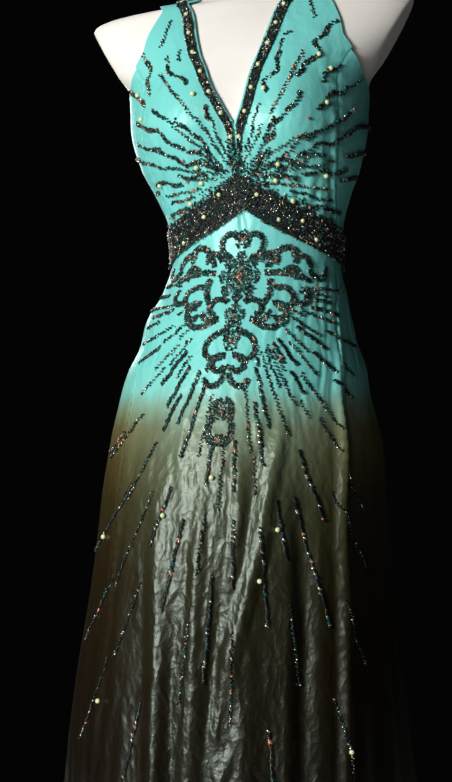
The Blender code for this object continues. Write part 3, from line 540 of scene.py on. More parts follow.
# Metres to a degree of panel angle where it is least, to find the crinkles near a place
CRINKLE_DEGREE = 0.0018


def crinkles_near(panel_angle, height):
    """The crinkles that can reach these places."""
    low = height.min()
    high = height.max()
    middle = (panel_angle.min() + panel_angle.max()) / 2
    half = (panel_angle.max() - panel_angle.min()) / 2
    found = []
    for crinkle in CRINKLES:
        reach = crinkle.length + crinkle.half_width
        apart = (crinkle.panel - middle + 180) % 360 - 180
        level = low - reach < crinkle.height < high + reach
        if level and abs(apart) < half + reach / CRINKLE_DEGREE:
            found.append(crinkle)
    return found


def crinkle_depth(panel_angle, height, degree):
    """Sum of the crinkles at these places; degree is the length of a degree of panel angle there."""
    total = np.zeros(np.broadcast(panel_angle, height).shape)
    for crinkle in crinkles_near(panel_angle, height):
        rise = height - crinkle.height
        apart = (panel_angle - crinkle.panel + 180) % 360 - 180
        reach = crinkle.length + crinkle.half_width
        near = (np.abs(rise) < reach) & (np.abs(apart) < reach / CRINKLE_DEGREE)
        if not near.any():
            continue
        rise = rise[near]
        across = (apart * degree)[near]
        cosine = math.cos(crinkle.turn)
        sine = math.sin(crinkle.turn)
        run = across * cosine + rise * sine
        aside = rise * cosine - across * sine - crinkle.bow * run * run
        total[near] += crinkle.depth * bump(run, crinkle.length) * bump(aside, crinkle.half_width)
    return total


def crease_depth(panel_angle, height):
    """Sum of the small creases at these places."""
    total = np.zeros(np.broadcast(panel_angle, height).shape)
    front_share = SEAM_ANGLE(height) / SIDE_FRONT
    stretch = np.where(np.abs(panel_angle) <= SIDE_FRONT, front_share, 1.0)
    degree = np.radians(1) * SKIRT["half_width"](height) * stretch
    for crease in CREASES:
        low = crease.heights[0]
        high = crease.heights[-1]
        inside = (height > low) & (height < high)
        if not inside.any():
            continue
        level = height[inside]
        middle = np.interp(level, crease.heights, crease.panels)
        apart = (panel_angle[inside] - middle + 180) % 360 - 180
        run = 0.22 * (high - low)
        fade = smoothstep((high - level) / run)
        if not crease.open_low:
            fade = fade * smoothstep((level - low) / run)
        total[inside] += crease.depth * fade * bump(apart * degree[inside], crease.half_width)
    return total + crinkle_depth(panel_angle, height, degree)


def seam_depth(panel_angle, height):
    """Sewn seams lie in a narrow valley, and the side-front seams pucker the cloth beside them."""
    degree = np.radians(1) * SKIRT["half_width"](height)
    total = 0.0
    for seam in (SIDE_FRONT, SIDE_BACK):
        away = (np.abs(panel_angle) - seam) * degree
        total = total - 0.0006 * bump(away, 0.0028)
        strength = 0.0007 if seam == SIDE_FRONT else 0.0003
        wave = np.sin(2 * np.pi * height / 0.0125 + 2.2 * np.sin(41 * height))
        total = total + strength * wave * np.exp(-((away / 0.008) ** 2))
    return total


def cloth(angle, height, lift=0.0):
    """The cloth's surface with all its folds and creases, moved out by lift."""
    panel_angle = panel_of(angle, height)
    creases = crease_depth(panel_angle, height) + seam_depth(panel_angle, height)
    return smooth_cloth(angle, height, lift + creases)


# Grids of places for the panels

def front_place(side, station, across):
    """Angle and height at a share across a bodice front, from its neck edge to its armhole edge."""
    neck_angle = STATIONS["neck_angle"](station) - side * STATIONS["lean"](station)
    neck_height = STATIONS["neck_height"](station)
    arm_height = STATIONS["arm_height"](station)
    low = station <= ARMPIT_STATION
    arm_angle = np.where(low, SEAM_ANGLE(arm_height), STATIONS["arm_angle"](station))
    angle = neck_angle + (arm_angle - neck_angle) * across
    height = neck_height + (arm_height - neck_height) * across
    hold = 1 - smoothstep(station / BAND_FADE_STATIONS)
    widest = FRONT_STATIONS[0].arm_angle
    first = band_height(0.0)
    last = band_height(widest)
    height = height + hold * (band_height(widest * across) - (first + (last - first) * across))
    return angle, height


def front_clear(side, angle, across):
    """Angle on the bodice front's own side, held clear of the centre line and of the seam."""
    gap = math.degrees(SEAM_CLEAR / NECK_RADIUS)
    moved = np.where(across < 0.5, angle + gap, angle - gap)
    return side * np.clip(moved, gap, CENTRE_BACK - gap)


def front_grid(side, rows=230, columns=46):
    stations = np.linspace(0, len(FRONT_STATIONS) - 1, rows)[:, None]
    across = np.linspace(0, 1, columns)[None, :]
    angle, height = front_place(side, stations, across)
    return front_clear(side, angle, across), height


def front_width(side, station):
    """Width of a bodice front at each station, from its neck edge to its armhole edge."""
    angle, height = front_place(side, station[..., None], np.linspace(0, 1, 9))
    points = cloth_base(side * angle, height)
    return np.linalg.norm(np.diff(points, axis=-2), axis=-1).sum(axis=-1)


def zip_half_gap(height):
    opened = smoothstep((height - ZIP_BOTTOM + ZIP_RUN_OUT) / ZIP_RUN_OUT)
    return SEAM_CLEAR + (ZIP_HALF_GAP - SEAM_CLEAR) * opened


def held_clear(panel_angle, height, low_seam, high_seam):
    """Panel angles held clear of a panel's two seams, and of the zip at the centre back."""
    radius = SKIRT["half_width"](height)
    low_gap = np.degrees(SEAM_CLEAR / radius)
    back_gap = np.degrees(zip_half_gap(height) / radius)
    high_gap = np.where(high_seam == CENTRE_BACK, back_gap, low_gap)
    return np.clip(panel_angle, low_seam + low_gap, high_seam - high_gap)


def bodice_back_grid(side, low_seam, high_seam, rows, columns):
    share = np.linspace(0, 1, rows)[:, None]
    panel_angle = np.linspace(low_seam, high_seam, columns)[None, :]
    top = TOP_EDGE(panel_angle)
    bottom = band_height(angle_of(panel_angle, WAIST_HEIGHT))
    height = top + (bottom - top) * share
    seam_top = TOP_EDGE(SIDE_FRONT)
    seam_bottom = band_height(angle_of(SIDE_FRONT, WAIST_HEIGHT))
    seam_height = seam_top + (seam_bottom - seam_top) * share
    held = held_clear(panel_angle + 0 * share, height, low_seam, high_seam)
    return side * angle_of(held, seam_height), height


def skirt_grid(start, end, rows, columns):
    """Places on a skirt panel between two panel angles, waist seam to hem."""
    side = -1.0 if start < 0 and end <= 0 else 1.0
    panel_angle = np.linspace(start, end, columns)[None, :]
    at_waist = angle_of(panel_angle, WAIST_HEIGHT)
    upper_rows = 18
    upper = np.linspace(0, 1, upper_rows, endpoint=False)[:, None]
    top = band_height(at_waist)
    upper_heights = top + (SKIRT_EVEN_HEIGHT - top) * upper
    seam_top = band_height(FRONT_STATIONS[0].arm_angle)
    upper_seam = seam_top + (SKIRT_EVEN_HEIGHT - seam_top) * upper + 0 * panel_angle
    lower = np.linspace(SKIRT_EVEN_HEIGHT, HEM_HEIGHT, rows - upper_rows)[:, None] + 0 * panel_angle
    height = np.concatenate([upper_heights, lower])
    seam_height = np.concatenate([upper_seam, lower])
    spread = panel_angle + 0 * height
    if start < 0 < end:
        gap = np.degrees(SEAM_CLEAR / SKIRT["half_width"](height))
        held = np.clip(spread, start + gap, end - gap)
    else:
        low_seam, high_seam = sorted((abs(start), abs(end)))
        held = side * held_clear(np.abs(spread), height, low_seam, high_seam)
    return angle_of(held, seam_height), height


def band_grid(start, end, rows, columns, start_gap, end_gap):
    panel_angle = np.linspace(start, end, columns)[None, :]
    radius = SKIRT["half_width"](WAIST_HEIGHT)
    low = start + math.degrees(start_gap / radius)
    high = end - math.degrees(end_gap / radius)
    angle = angle_of(np.clip(panel_angle, low, high), WAIST_HEIGHT)
    down = np.linspace(1, -1, rows)[:, None]
    return angle + 0 * down, band_height(angle) + band_half_height(angle) * down


# Meshes

def mesh_of(name, points, faces):
    """Mesh of faces that all have the same number of corners."""
    mesh = bpy.data.meshes.new(name)
    count, corners = faces.shape
    mesh.vertices.add(len(points))
    mesh.vertices.foreach_set("co", points.astype(np.float32).ravel())
    mesh.loops.add(count * corners)
    mesh.loops.foreach_set("vertex_index", faces.astype(np.int32).ravel())
    mesh.polygons.add(count)
    mesh.polygons.foreach_set("loop_start", np.arange(0, count * corners, corners, dtype=np.int32))
    mesh.update(calc_edges=True)
    return mesh


def new_object(name, mesh, materials, smooth=True, crisp=60):
    for material in materials:
        mesh.materials.append(material)
    if smooth:
        mesh.shade_smooth()
        mesh.set_sharp_from_angle(angle=math.radians(crisp))
    obj = bpy.data.objects.new(name, mesh)
    bpy.context.scene.collection.objects.link(obj)
    return obj


def quads_of(rows, columns):
    index = np.arange(rows * columns).reshape(rows, columns)
    return index, np.stack(
        [index[:-1, :-1], index[1:, :-1], index[1:, 1:], index[:-1, 1:]], axis=-1
    ).reshape(-1, 4)


def shell(name, outer, inner, materials):
    """Closed thin sheet between two grids of points."""
    middle = outer.shape[0] // 2, outer.shape[1] // 2
    down = outer[middle[0] + 1, middle[1]] - outer[middle]
    along = outer[middle[0], middle[1] + 1] - outer[middle]
    if np.dot(np.cross(down, along), outer[middle] - inner[middle]) < 0:
        outer = outer[:, ::-1]
        inner = inner[:, ::-1]
    rows, columns = outer.shape[:2]
    index, top = quads_of(rows, columns)
    count = rows * columns
    border = np.concatenate([
        index[0, :-1], index[:-1, -1], index[-1, :0:-1], index[:0:-1, 0],
    ])
    following = np.roll(border, -1)
    rim = np.stack([border, following, following + count, border + count], axis=-1)
    faces = np.concatenate([top, top[:, ::-1] + count, rim])
    points = np.concatenate([outer.reshape(-1, 3), inner.reshape(-1, 3)])
    return new_object(name, mesh_of(name, points, faces), materials)


def cloth_shell(name, grid, materials, inside=SHELL_INSIDE, outside=SHELL_OUTSIDE):
    angle, height = grid
    return shell(name, cloth(angle, height, outside), cloth(angle, height, inside), materials)


def closed_tube(name, rings, material, crisp):
    """Tube through rings of points, closed at both ends."""
    rows, columns = rings.shape[:2]
    index = np.arange(rows * columns).reshape(rows, columns)
    turned = np.roll(index, -1, axis=1)
    sides = np.stack([index[:-1], turned[:-1], turned[1:], index[1:]], axis=-1).reshape(-1, 4)
    faces = sides.tolist() + [index[0, ::-1].tolist(), index[-1].tolist()]
    mesh = bpy.data.meshes.new(name)
    mesh.from_pydata(rings.reshape(-1, 3).tolist(), [], faces)
    return new_object(name, mesh, [material], crisp=crisp)


def state_piece(obj, node=None):
    """States what the piece rides on and the solid that it replaces."""
    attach(obj, "gown")
    if node is not None:
        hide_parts(node)
    return obj


# Materials

def feed(tree, socket, value):
    """Sets a socket to a value, or links another socket to it."""
    if isinstance(value, bpy.types.NodeSocket):
        tree.links.new(value, socket)
    else:
        socket.default_value = value


def add_node(tree, kind, inputs):
    made = tree.nodes.new("ShaderNode" + kind)
    for name, value in inputs.items():
        feed(tree, made.inputs[name], value)
    return made


def new_material(name):
    """A material with its node tree, its shader and the place on the object."""
    made = bpy.data.materials.new(name)
    made.use_nodes = True
    tree = made.node_tree
    return made, tree, tree.nodes["Principled BSDF"], add_node(tree, "TexCoord", {}).outputs["Object"]


def ramp(tree, stops, source):
    """Colour from a ramp with these (place, colour) stops."""
    node = add_node(tree, "ValToRGB", {"Fac": source})
    while len(node.color_ramp.elements) < len(stops):
        node.color_ramp.elements.new(0.5)
    for element, (place, colour) in zip(node.color_ramp.elements, stops):
        element.position = place
        element.color = (*colour, 1.0)
    return node.outputs["Color"]


def noise(tree, vector, scale, detail=2.0, roughness=0.5, ridged=False):
    node = add_node(tree, "TexNoise", {
        "Scale": scale, "Detail": detail, "Roughness": roughness, "Vector": vector,
    })
    if ridged:
        node.noise_type = "RIDGED_MULTIFRACTAL"
    return node.outputs["Fac"]


def stretched(tree, vector, up, across=1.0):
    return add_node(tree, "Mapping", {"Scale": (across, across, up), "Vector": vector}).outputs["Vector"]


def ranged(tree, value, start, end, low=0.0, high=1.0):
    return add_node(tree, "MapRange", {
        "From Min": start, "From Max": end, "To Min": low, "To Max": high, "Value": value,
    }).outputs["Result"]


def maths(tree, operation, first, second):
    node = add_node(tree, "Math", {0: first, 1: second})
    node.operation = operation
    return node.outputs[0]


def add_bump(tree, shader, height, strength, distance, below=None):
    inputs = {"Strength": strength, "Distance": distance, "Height": height}
    if below is not None:
        inputs["Normal"] = below
    normal = add_node(tree, "Bump", inputs).outputs["Normal"]
    feed(tree, shader.inputs["Normal"], normal)
    return normal


# Colour of the satin by height: turquoise to the hip, a short fade, then olive that darkens to the hem
RAMP_TOP = 1.6
OMBRE = (
    (0.02, (0.0045, 0.0032, 0.0012)),
    (0.44, (0.0060, 0.0042, 0.0016)),
    (0.56, (0.0100, 0.0080, 0.0032)),
    (0.68, (0.0170, 0.0165, 0.0070)),
    (0.77, (0.034, 0.040, 0.019)),
    (0.82, (0.075, 0.094, 0.052)),
    (0.86, (0.130, 0.180, 0.115)),
    (0.887, (0.180, 0.340, 0.265)),
    (0.908, (0.175, 0.555, 0.505)),
    (0.935, (0.168, 0.605, 0.565)),
)
SMOOTH_ABOVE = 0.93
CRUSHED_BELOW = 0.80


def side_share(tree, split):
    """0 at the front of the skirt and 1 at its sides."""
    return ranged(tree, maths(tree, "ABSOLUTE", split.outputs["X"], 0.0), 0.07, 0.16)


def painted_warm_light_sides(tree, split, colour):
    """Painted warm light: the olive is tinted golden brown towards the sides of the skirt, where warm light
    falls.
    """
    below = ranged(tree, split.outputs["Z"], 0.905, 0.86)
    mixed = tree.nodes.new("ShaderNodeMix")
    mixed.data_type = "RGBA"
    mixed.blend_type = "MULTIPLY"
    feed(tree, mixed.inputs["Factor"], maths(tree, "MULTIPLY", side_share(tree, split), below))
    feed(tree, mixed.inputs["A"], colour)
    # Warm brown of the painted light on the sides
    feed(tree, mixed.inputs["B"], (0.80, 0.50, 0.24, 1.0))
    return mixed.outputs["Result"]


def crumples(tree, place):
    """Heights of crumpled silk: bent cells longer than they are wide, that meet in crisp edges."""
    bent = add_node(tree, "TexNoise", {"Scale": 26.0, "Detail": 2.0, "Vector": place})
    shifted = tree.nodes.new("ShaderNodeVectorMath")
    shifted.operation = "MULTIPLY_ADD"
    for number, value in enumerate((bent.outputs["Color"], (0.030, 0.030, 0.030), place)):
        feed(tree, shifted.inputs[number], value)
    longer = stretched(tree, shifted.outputs["Vector"], 0.38)
    return add_node(tree, "TexVoronoi", {"Scale": 95.0, "Vector": longer}).outputs["Distance"]


def satin(name):
    """Silk satin, dyed by height, crushed in fine vertical crinkles below the hip, with a silvery sheen."""
    made, tree, shader, place = new_material(name)
    split = add_node(tree, "SeparateXYZ", {0: place})
    streaks = noise(tree, stretched(tree, place, 0.22), 34.0, 4.0, 0.6)
    uneven = maths(tree, "MULTIPLY", maths(tree, "SUBTRACT", streaks, 0.5), 0.06)
    level = maths(tree, "DIVIDE", maths(tree, "ADD", split.outputs["Z"], uneven), RAMP_TOP)
    dyed = ramp(tree, [(height / RAMP_TOP, colour) for height, colour in OMBRE], level)
    crushed = ranged(tree, split.outputs["Z"], SMOOTH_ABOVE, CRUSHED_BELOW, 0.40, 0.85)
    patchy = noise(tree, stretched(tree, place, 0.35), 60.0, 3.0)
    glossy = maths(tree, "MULTIPLY", crushed, -0.06)
    uneven_gloss = maths(tree, "MULTIPLY", patchy, 0.16)
    # Base colour: the dyed ombre, with painted warm light tinting the skirt's sides brown
    feed(tree, shader.inputs["Base Color"], painted_warm_light_sides(tree, split, dyed))
    shader.inputs["Specular IOR Level"].default_value = 0.50
    shader.inputs["Specular Tint"].default_value = (0.84, 1.0, 0.88, 1.0)
    shader.inputs["Sheen Weight"].default_value = 0.006
    shader.inputs["Sheen Roughness"].default_value = 0.4
    shader.inputs["Sheen Tint"].default_value = (0.75, 0.95, 0.88, 1.0)
    rough = maths(tree, "ADD", maths(tree, "ADD", glossy, uneven_gloss), 0.335)
    feed(tree, shader.inputs["Roughness"], rough)
    flatter = maths(tree, "SUBTRACT", 1.0, maths(tree, "MULTIPLY", side_share(tree, split), 0.6))
    strength = maths(tree, "MULTIPLY", crushed, flatter)
    fine = noise(tree, stretched(tree, place, 0.9), 150.0, 4.0, 0.55)
    crinkle = noise(tree, stretched(tree, place, 0.5), 46.0, 3.0, 0.5, ridged=True)
    weave = noise(tree, stretched(tree, place, 0.35), 2600.0, 1.0)
    below = add_bump(tree, shader, fine, strength, 0.0011)
    below = add_bump(tree, shader, crinkle, strength, 0.0014, below)
    below = add_bump(tree, shader, crumples(tree, place), strength, 0.0016, below)
    add_bump(tree, shader, weave, 0.12, 0.0003, below)
    return made


def mottled(name, low, dark, high, pale, roughness, grain, bump=None, stretch=None, metallic=0.0):
    """A finish between two colours; grain is its noise's scale and detail, bump a strength and depth."""
    made, tree, shader, place = new_material(name)
    if stretch is not None:
        place = stretched(tree, place, stretch)
    fine = noise(tree, place, *grain)
    feed(tree, shader.inputs["Base Color"], ramp(tree, [(low, dark), (high, pale)], fine))
    shader.inputs["Roughness"].default_value = roughness
    shader.inputs["Metallic"].default_value = metallic
    if bump is not None:
        add_bump(tree, shader, fine, *bump)
    return made


def plain_net(name):
    """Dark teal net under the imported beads."""
    dark = (0.004, 0.008, 0.008)
    return mottled(name, 0.35, dark, 0.7, (0.010, 0.032, 0.030), 0.7, (900.0, 2.0), (0.5, 0.0006))


def bead_material(name, colour, other, roughness, metallic, coat):
    """Glass bead; its colour shifts a little from bead to bead."""
    made = mottled(name, 0.38, colour, 0.62, other, roughness, (420.0, 1.0), metallic=metallic)
    shader = made.node_tree.nodes["Principled BSDF"]
    shader.inputs["Coat Weight"].default_value = coat
    shader.inputs["Coat Roughness"].default_value = 0.06
    return made


BEAD_LOOKS = {
    "bead_black": ((0.003, 0.005, 0.005), (0.006, 0.016, 0.015), 0.12, 0.0, 0.0),
    "bead_teal": ((0.004, 0.045, 0.042), (0.012, 0.120, 0.105), 0.12, 0.2, 0.0),
    "bead_bronze": ((0.050, 0.032, 0.014), (0.200, 0.120, 0.045), 0.18, 0.8, 0.0),
    "bead_rose": ((0.500, 0.170, 0.120), (0.720, 0.380, 0.260), 0.14, 0.35, 0.4),
    "bead_silver": ((0.400, 0.460, 0.430), (0.800, 0.740, 0.600), 0.22, 0.9, 0.0),
    "bead_pale": ((0.560, 0.680, 0.330), (0.760, 0.800, 0.480), 0.25, 0.0, 0.5),
}
BEAD_NAMES = list(BEAD_LOOKS)


def metal(name, colour, roughness, brushed):
    dark = tuple(0.9 * part for part in colour)
    bump = (brushed, 0.0002)
    return mottled(name, 0.3, dark, 0.7, colour, roughness, (500.0, 2.0), bump, 0.1, 1.0)


def painted_steel(name):
    dark = (0.020, 0.020, 0.022)
    return mottled(name, 0.3, dark, 0.7, (0.032, 0.032, 0.034), 0.42, (700.0, 2.0), (0.15, 0.0003))


def eggshell(name):
    """Smooth off-white shell of the dress form, with the faintest mottle."""
    dark = (0.800, 0.765, 0.715)
    made = mottled(name, 0.3, dark, 0.7, (0.840, 0.815, 0.775), 0.38, (14.0, 3.0))
    tree = made.node_tree
    place = add_node(tree, "TexCoord", {}).outputs["Object"]
    add_bump(tree, tree.nodes["Principled BSDF"], noise(tree, place, 900.0), 0.05, 0.0002)
    return made


# Beads

def barrel(sides, rings, ends):
    """Bead turned round its thread (local X): (x, radius) rings and the x of its two closed ends."""
    turns = np.arange(sides) * 2 * np.pi / sides
    points = [(ends[0], 0.0, 0.0)]
    for x, radius in rings:
        points += [(x, radius * math.cos(turn), radius * math.sin(turn)) for turn in turns]
    points.append((ends[1], 0.0, 0.0))
    faces = []
    last = len(points) - 1
    for i in range(sides):
        j = (i + 1) % sides
        faces.append((0, 1 + j, 1 + i))
        for ring in range(len(rings) - 1):
            a = 1 + ring * sides
            b = a + sides
            faces.append((a + i, a + j, b + j))
            faces.append((a + i, b + j, b + i))
        end = 1 + (len(rings) - 1) * sides
        faces.append((last, end + i, end + j))
    return np.array(points), np.array(faces)


def ball_rings(count):
    turns = [math.pi * (i + 1) / (count + 1) for i in range(count)]
    return [(-math.cos(turn), math.sin(turn)) for turn in turns]


BEAD_SHAPES = {
    "seed": (barrel(6, [(-0.35, 0.96), (0.35, 0.96)], (-0.62, 0.62)), True),
    "bugle": (barrel(5, [(-0.92, 0.95), (0.92, 0.95)], (-1.0, 1.0)), True),
    "crystal": (barrel(6, [(0.0, 1.0)], (-0.95, 0.95)), False),
    "round": (barrel(12, ball_rings(7), (-1.0, 1.0)), True),
}


def copies_of(form, triangles, at, along, side, up):
    """Points and faces of copies of a form at each place, with its axes laid along the given ones."""
    points = (
        at[:, None, :]
        + form[None, :, 0, None] * along[:, None, :]
        + form[None, :, 1, None] * side[:, None, :]
        + form[None, :, 2, None] * up[:, None, :]
    )
    starts = np.arange(len(at)) * len(form)
    return points.reshape(-1, 3), (triangles[None] + starts[:, None, None]).reshape(-1, 3)


class Beads:
    """Beads of one group, gathered and then joined into one mesh."""

    def __init__(self, seed):
        self.rows = []
        self.rng = np.random.default_rng(seed)

    def add(self, shape, points, thread, normal, long_half, radius, looks):
        """Beads of one shape; long_half is half the length along the thread."""
        count = len(points)
        long_half = np.broadcast_to(long_half, count)
        self.rows.append((
            shape, points, unit(thread), normal, long_half, np.broadcast_to(radius, count), looks,
        ))

    def alike(self, shape, points, normal, radius, look, thread=None):
        """Beads of one look, turned every which way unless a thread is given."""
        if thread is None:
            thread = np.cross(normal, self.rng.normal(0, 1, points.shape))
        looks = np.full(len(points), BEAD_NAMES.index(look))
        self.add(shape, points, thread, normal, radius, radius, looks)

    def looks(self, count, shares):
        """Looks picked at random, each as often as its share says."""
        chances = np.array(shares, float)
        return self.rng.choice(len(shares), count, p=chances / chances.sum())

    def mixed(self, points, thread, normal, size, shares, bugles, longer):
        """Seeds of many looks, with a share of bugles among them."""
        looks = self.looks(len(points), shares)
        long = self.rng.random(len(points)) < bugles
        for shape, part, length, width in (("seed", ~long, 1.0, 1.0), ("bugle", long, longer, 0.75)):
            self.add(
                shape, points[part], thread[part], normal[part],
                size[part] * length, size[part] * width, looks[part],
            )

    def build(self, name, materials):
        made = []
        offset = 0
        for shape, at, thread, normal, long_half, radius, look in self.rows:
            (form, triangles), soft = BEAD_SHAPES[shape]
            side = unit(np.cross(normal, thread))
            up = np.cross(thread, side)
            points, faces = copies_of(
                form, triangles, at,
                thread * long_half[:, None], side * radius[:, None], up * radius[:, None],
            )
            made.append((
                points, faces + offset, np.repeat(look, len(triangles)), np.full(len(faces), soft),
            ))
            offset += len(points)
        points, faces, looks, smooth = (np.concatenate(column) for column in zip(*made))
        mesh = mesh_of(name, points, faces)
        mesh.polygons.foreach_set("material_index", looks.astype(np.int32))
        mesh.polygons.foreach_set("use_smooth", smooth)
        return state_piece(new_object(name, mesh, materials, smooth=False))


# How many of a hundred beads are black, teal, bronze, rose and silver
LINE = (60, 24, 6, 2, 8)
NIGHT = (72, 8, 8, 2, 10)
COPPER = (36, 20, 20, 11, 13)
BAND = (66, 10, 9, 1, 14)
MEDALLION = (51, 32, 5, 3, 9)
SEED_RADIUS = 0.00135
CHAIN_RADIUS = 0.00165
ROUND_RADIUS = 0.0019
BAR_RADIUS = 0.0013
BAR_HALF = 0.0027
BAR_PITCH = 0.0026
PALE_RADIUS = 0.0031

# Beads that lie beside each other are this many radii apart
BESIDE = 1.95
TRIM_FROM = 1.21
ARMHOLE_FROM = 1.30


def on_bodice(angle, height, margin=1.2):
    """Whether places above the band lie on the bodice's cloth, a little in from its edges."""
    neck_angle, neck_height, arm_angle, arm_height, lean = np.array(FRONT_STATIONS[4:14]).T
    neck = np.interp(height, neck_height, neck_angle)
    neck = neck - np.sign(angle) * np.interp(height, neck_height, lean)
    beside_trim = height > TRIM_FROM
    trim = np.where(beside_trim, np.degrees(0.0125 / 0.11), 0.0)
    past_neck = np.abs(angle) > neck + trim + margin * beside_trim
    arm = np.interp(height, arm_height[4:], arm_angle[4:])
    panel_angle = np.abs(panel_of(angle, height))
    low = height < np.where(panel_angle < SIDE_FRONT, ARMHOLE_FROM, TOP_EDGE(panel_angle) - 0.006)
    return past_neck & (low | ((height >= ARMHOLE_FROM) & (np.abs(angle) < arm - margin)))


def surface_frame(angle, height):
    """Points on the creased cloth and the normals there."""
    def outside(a, h):
        return cloth(a, h, SHELL_OUTSIDE)
    return outside(angle, height), outward(outside, angle, height, 0.0015)


def thread_of(points):
    return unit(np.gradient(points, axis=0))


def along(points, pitch):
    """Indices of points about a pitch apart along a dense line."""
    walked = np.concatenate([[0.0], np.cumsum(np.linalg.norm(np.diff(points, axis=0), axis=-1))])
    wanted = np.arange(pitch / 2, walked[-1], pitch)
    return np.clip(np.searchsorted(walked, wanted), 0, len(points) - 1)


def bead_rows(beads, angle, height, rows, shares, radius, keep, bugles=0.12, loose=0.6):
    """Rows of round beads side by side along dense places, with a few bugles, none quite in line."""
    rng = beads.rng
    line, normals = surface_frame(angle, height)
    threads = thread_of(line)
    pitch = radius * 1.5
    for row in range(rows):
        chosen = along(line, pitch * rng.uniform(0.97, 1.05))
        chosen = chosen[keep[chosen]]
        count = len(chosen)
        if not count:
            continue
        normal = normals[chosen]
        thread = threads[chosen]
        side = np.cross(normal, thread)
        stagger = 0.34 * pitch * (-1.0) ** np.arange(count) * (rows == 1)
        offset = (row - (rows - 1) / 2) * radius * 1.7 + stagger + rng.normal(0, 0.18 * pitch, count)
        sizes = radius * rng.uniform(0.82, 1.12, count)
        turned = thread + side * rng.normal(0, loose, count)[:, None]
        at = line[chosen] + side * offset[:, None] + normal * (sizes * 0.85)[:, None]
        beads.mixed(at, turned, normal, sizes, shares, bugles, 1.5)


def bead_bars(beads, angle, height, shares, keep):
    """A ladder of short bars sewn slantwise across dense places."""
    rng = beads.rng
    line, normals = surface_frame(angle, height)
    chosen = along(line, BAR_PITCH)
    chosen = chosen[keep[chosen]]
    count = len(chosen)
    normal = normals[chosen]
    thread = thread_of(line)[chosen]
    side = np.cross(normal, thread)
    turned = side + thread * rng.normal(0.45, 0.22, count)[:, None]
    half = BAR_HALF * rng.uniform(0.75, 1.1, count)
    at = line[chosen] + side * rng.normal(0, 0.0005, count)[:, None] + normal * BAR_RADIUS * 0.9
    beads.add("bugle", at, turned, normal, half, BAR_RADIUS, beads.looks(count, shares))


def single_beads(beads, angle, height, shape, radius, look):
    point, normal = surface_frame(angle, height)
    beads.alike(shape, point + normal * radius * 0.8, normal, radius, look)


def packed_beads(beads, points, normals, shares, bugles=0.2, radius=SEED_RADIUS):
    """Beads packed at given points of a beaded ground, every which way."""
    rng = beads.rng
    thread = np.cross(normals, rng.normal(0, 1, points.shape))
    size = radius * rng.uniform(0.85, 1.15, len(points))
    at = points + normals * (size * rng.uniform(0.7, 1.2, len(points)))[:, None]
    beads.mixed(at, thread, normals, size, shares, bugles, 1.6)


# Rays, as the turn from straight up or down about a middle pixel and the distances where each
# starts and ends, in pixels. Rows is how many beads wide it is, and wave how far it wanders.
Ray = namedtuple("Ray", "turn near far rows wave shares", defaults=(0.6, None))
BODICE_MIDDLE = (238, 178)
BODICE_RAYS = table(
    Ray,
    (31, 117, 187, 2, 5.0), (18, 89, 153, 2, 4.5), (27, 71, 143, 1, 0.6, COPPER),
    (41, 126, 170, 2, 4.0), (49, 103, 142, 2, 4.0), (36, 45, 106, 2, 2.5), (60, 77, 134, 2, 1.5),
    (68, 44, 140, 2, 3.5), (18, 136, 176, 1), (51, 143, 164, 1, 1.0), (16, 27, 77, 1, 1.0),
    (32, 46, 70, 2, 1.5), (54, 22, 78, 1, 1.2, COPPER), (58, 60, 84, 2, 2.0, COPPER),
    (48, 22, 44, 2, 2.5), (74, 34, 90, 2, 3.0), (80, 40, 96, 1, 1.0), (86, 62, 108, 2, 3.0),
    (88, 24, 58, 2, 2.5), (97, 25, 90, 1, 0.8, COPPER), (79, 108, 128, 2, 2.5), (91, 100, 132, 2, 3.0),
    (104, 52, 96, 1, 1.5), (110, 66, 114, 2, 3.0), (117, 86, 118, 1, 2.0), (-31, 106, 138, 2, 4.5),
    (-24, 64, 100, 2, 3.5), (-37, 74, 130, 1, 0.6, COPPER), (-51, 116, 140, 2, 2.0, COPPER),
    (-51, 19, 109, 1, 1.2), (-46, 32, 86, 2, 2.5), (-26, 16, 78, 1, 1.2), (-12, 14, 42, 1, 1.0),
    (-61, 18, 114, 2, 3.0), (-71, 78, 113, 1, 2.5), (-72, 36, 90, 2, 4.0), (-81, 38, 96, 1, 1.0),
    (-79, 98, 110, 2, 1.0, COPPER), (-87, 30, 60, 2, 2.5), (-95, 54, 80, 2, 2.5),
    (-105, 38, 72, 1, 1.0, COPPER), (-101, 78, 92, 2, 2.0), (-112, 46, 70, 1, 1.5),
    (-121, 56, 76, 2, 1.5, COPPER), (8, 14, 34, 2, 1.5), (-4, 10, 30, 1, 1.0), (-18, 8, 62, 1, 1.2),
    (-35, 10, 76, 1, 1.0), (-56, 12, 50, 1, 1.2), (-66, 14, 44, 2, 2.0), (-78, 16, 40, 1, 1.2, COPPER),
    (-91, 22, 50, 1, 1.0, COPPER), (4, 10, 30, 1, 1.0), (24, 8, 60, 1, 1.2), (38, 10, 48, 1, 1.2),
    (50, 10, 46, 1, 1.0), (63, 14, 62, 1, 1.4), (68, 12, 40, 2, 2.0, COPPER), (80, 16, 44, 1, 1.0),
)
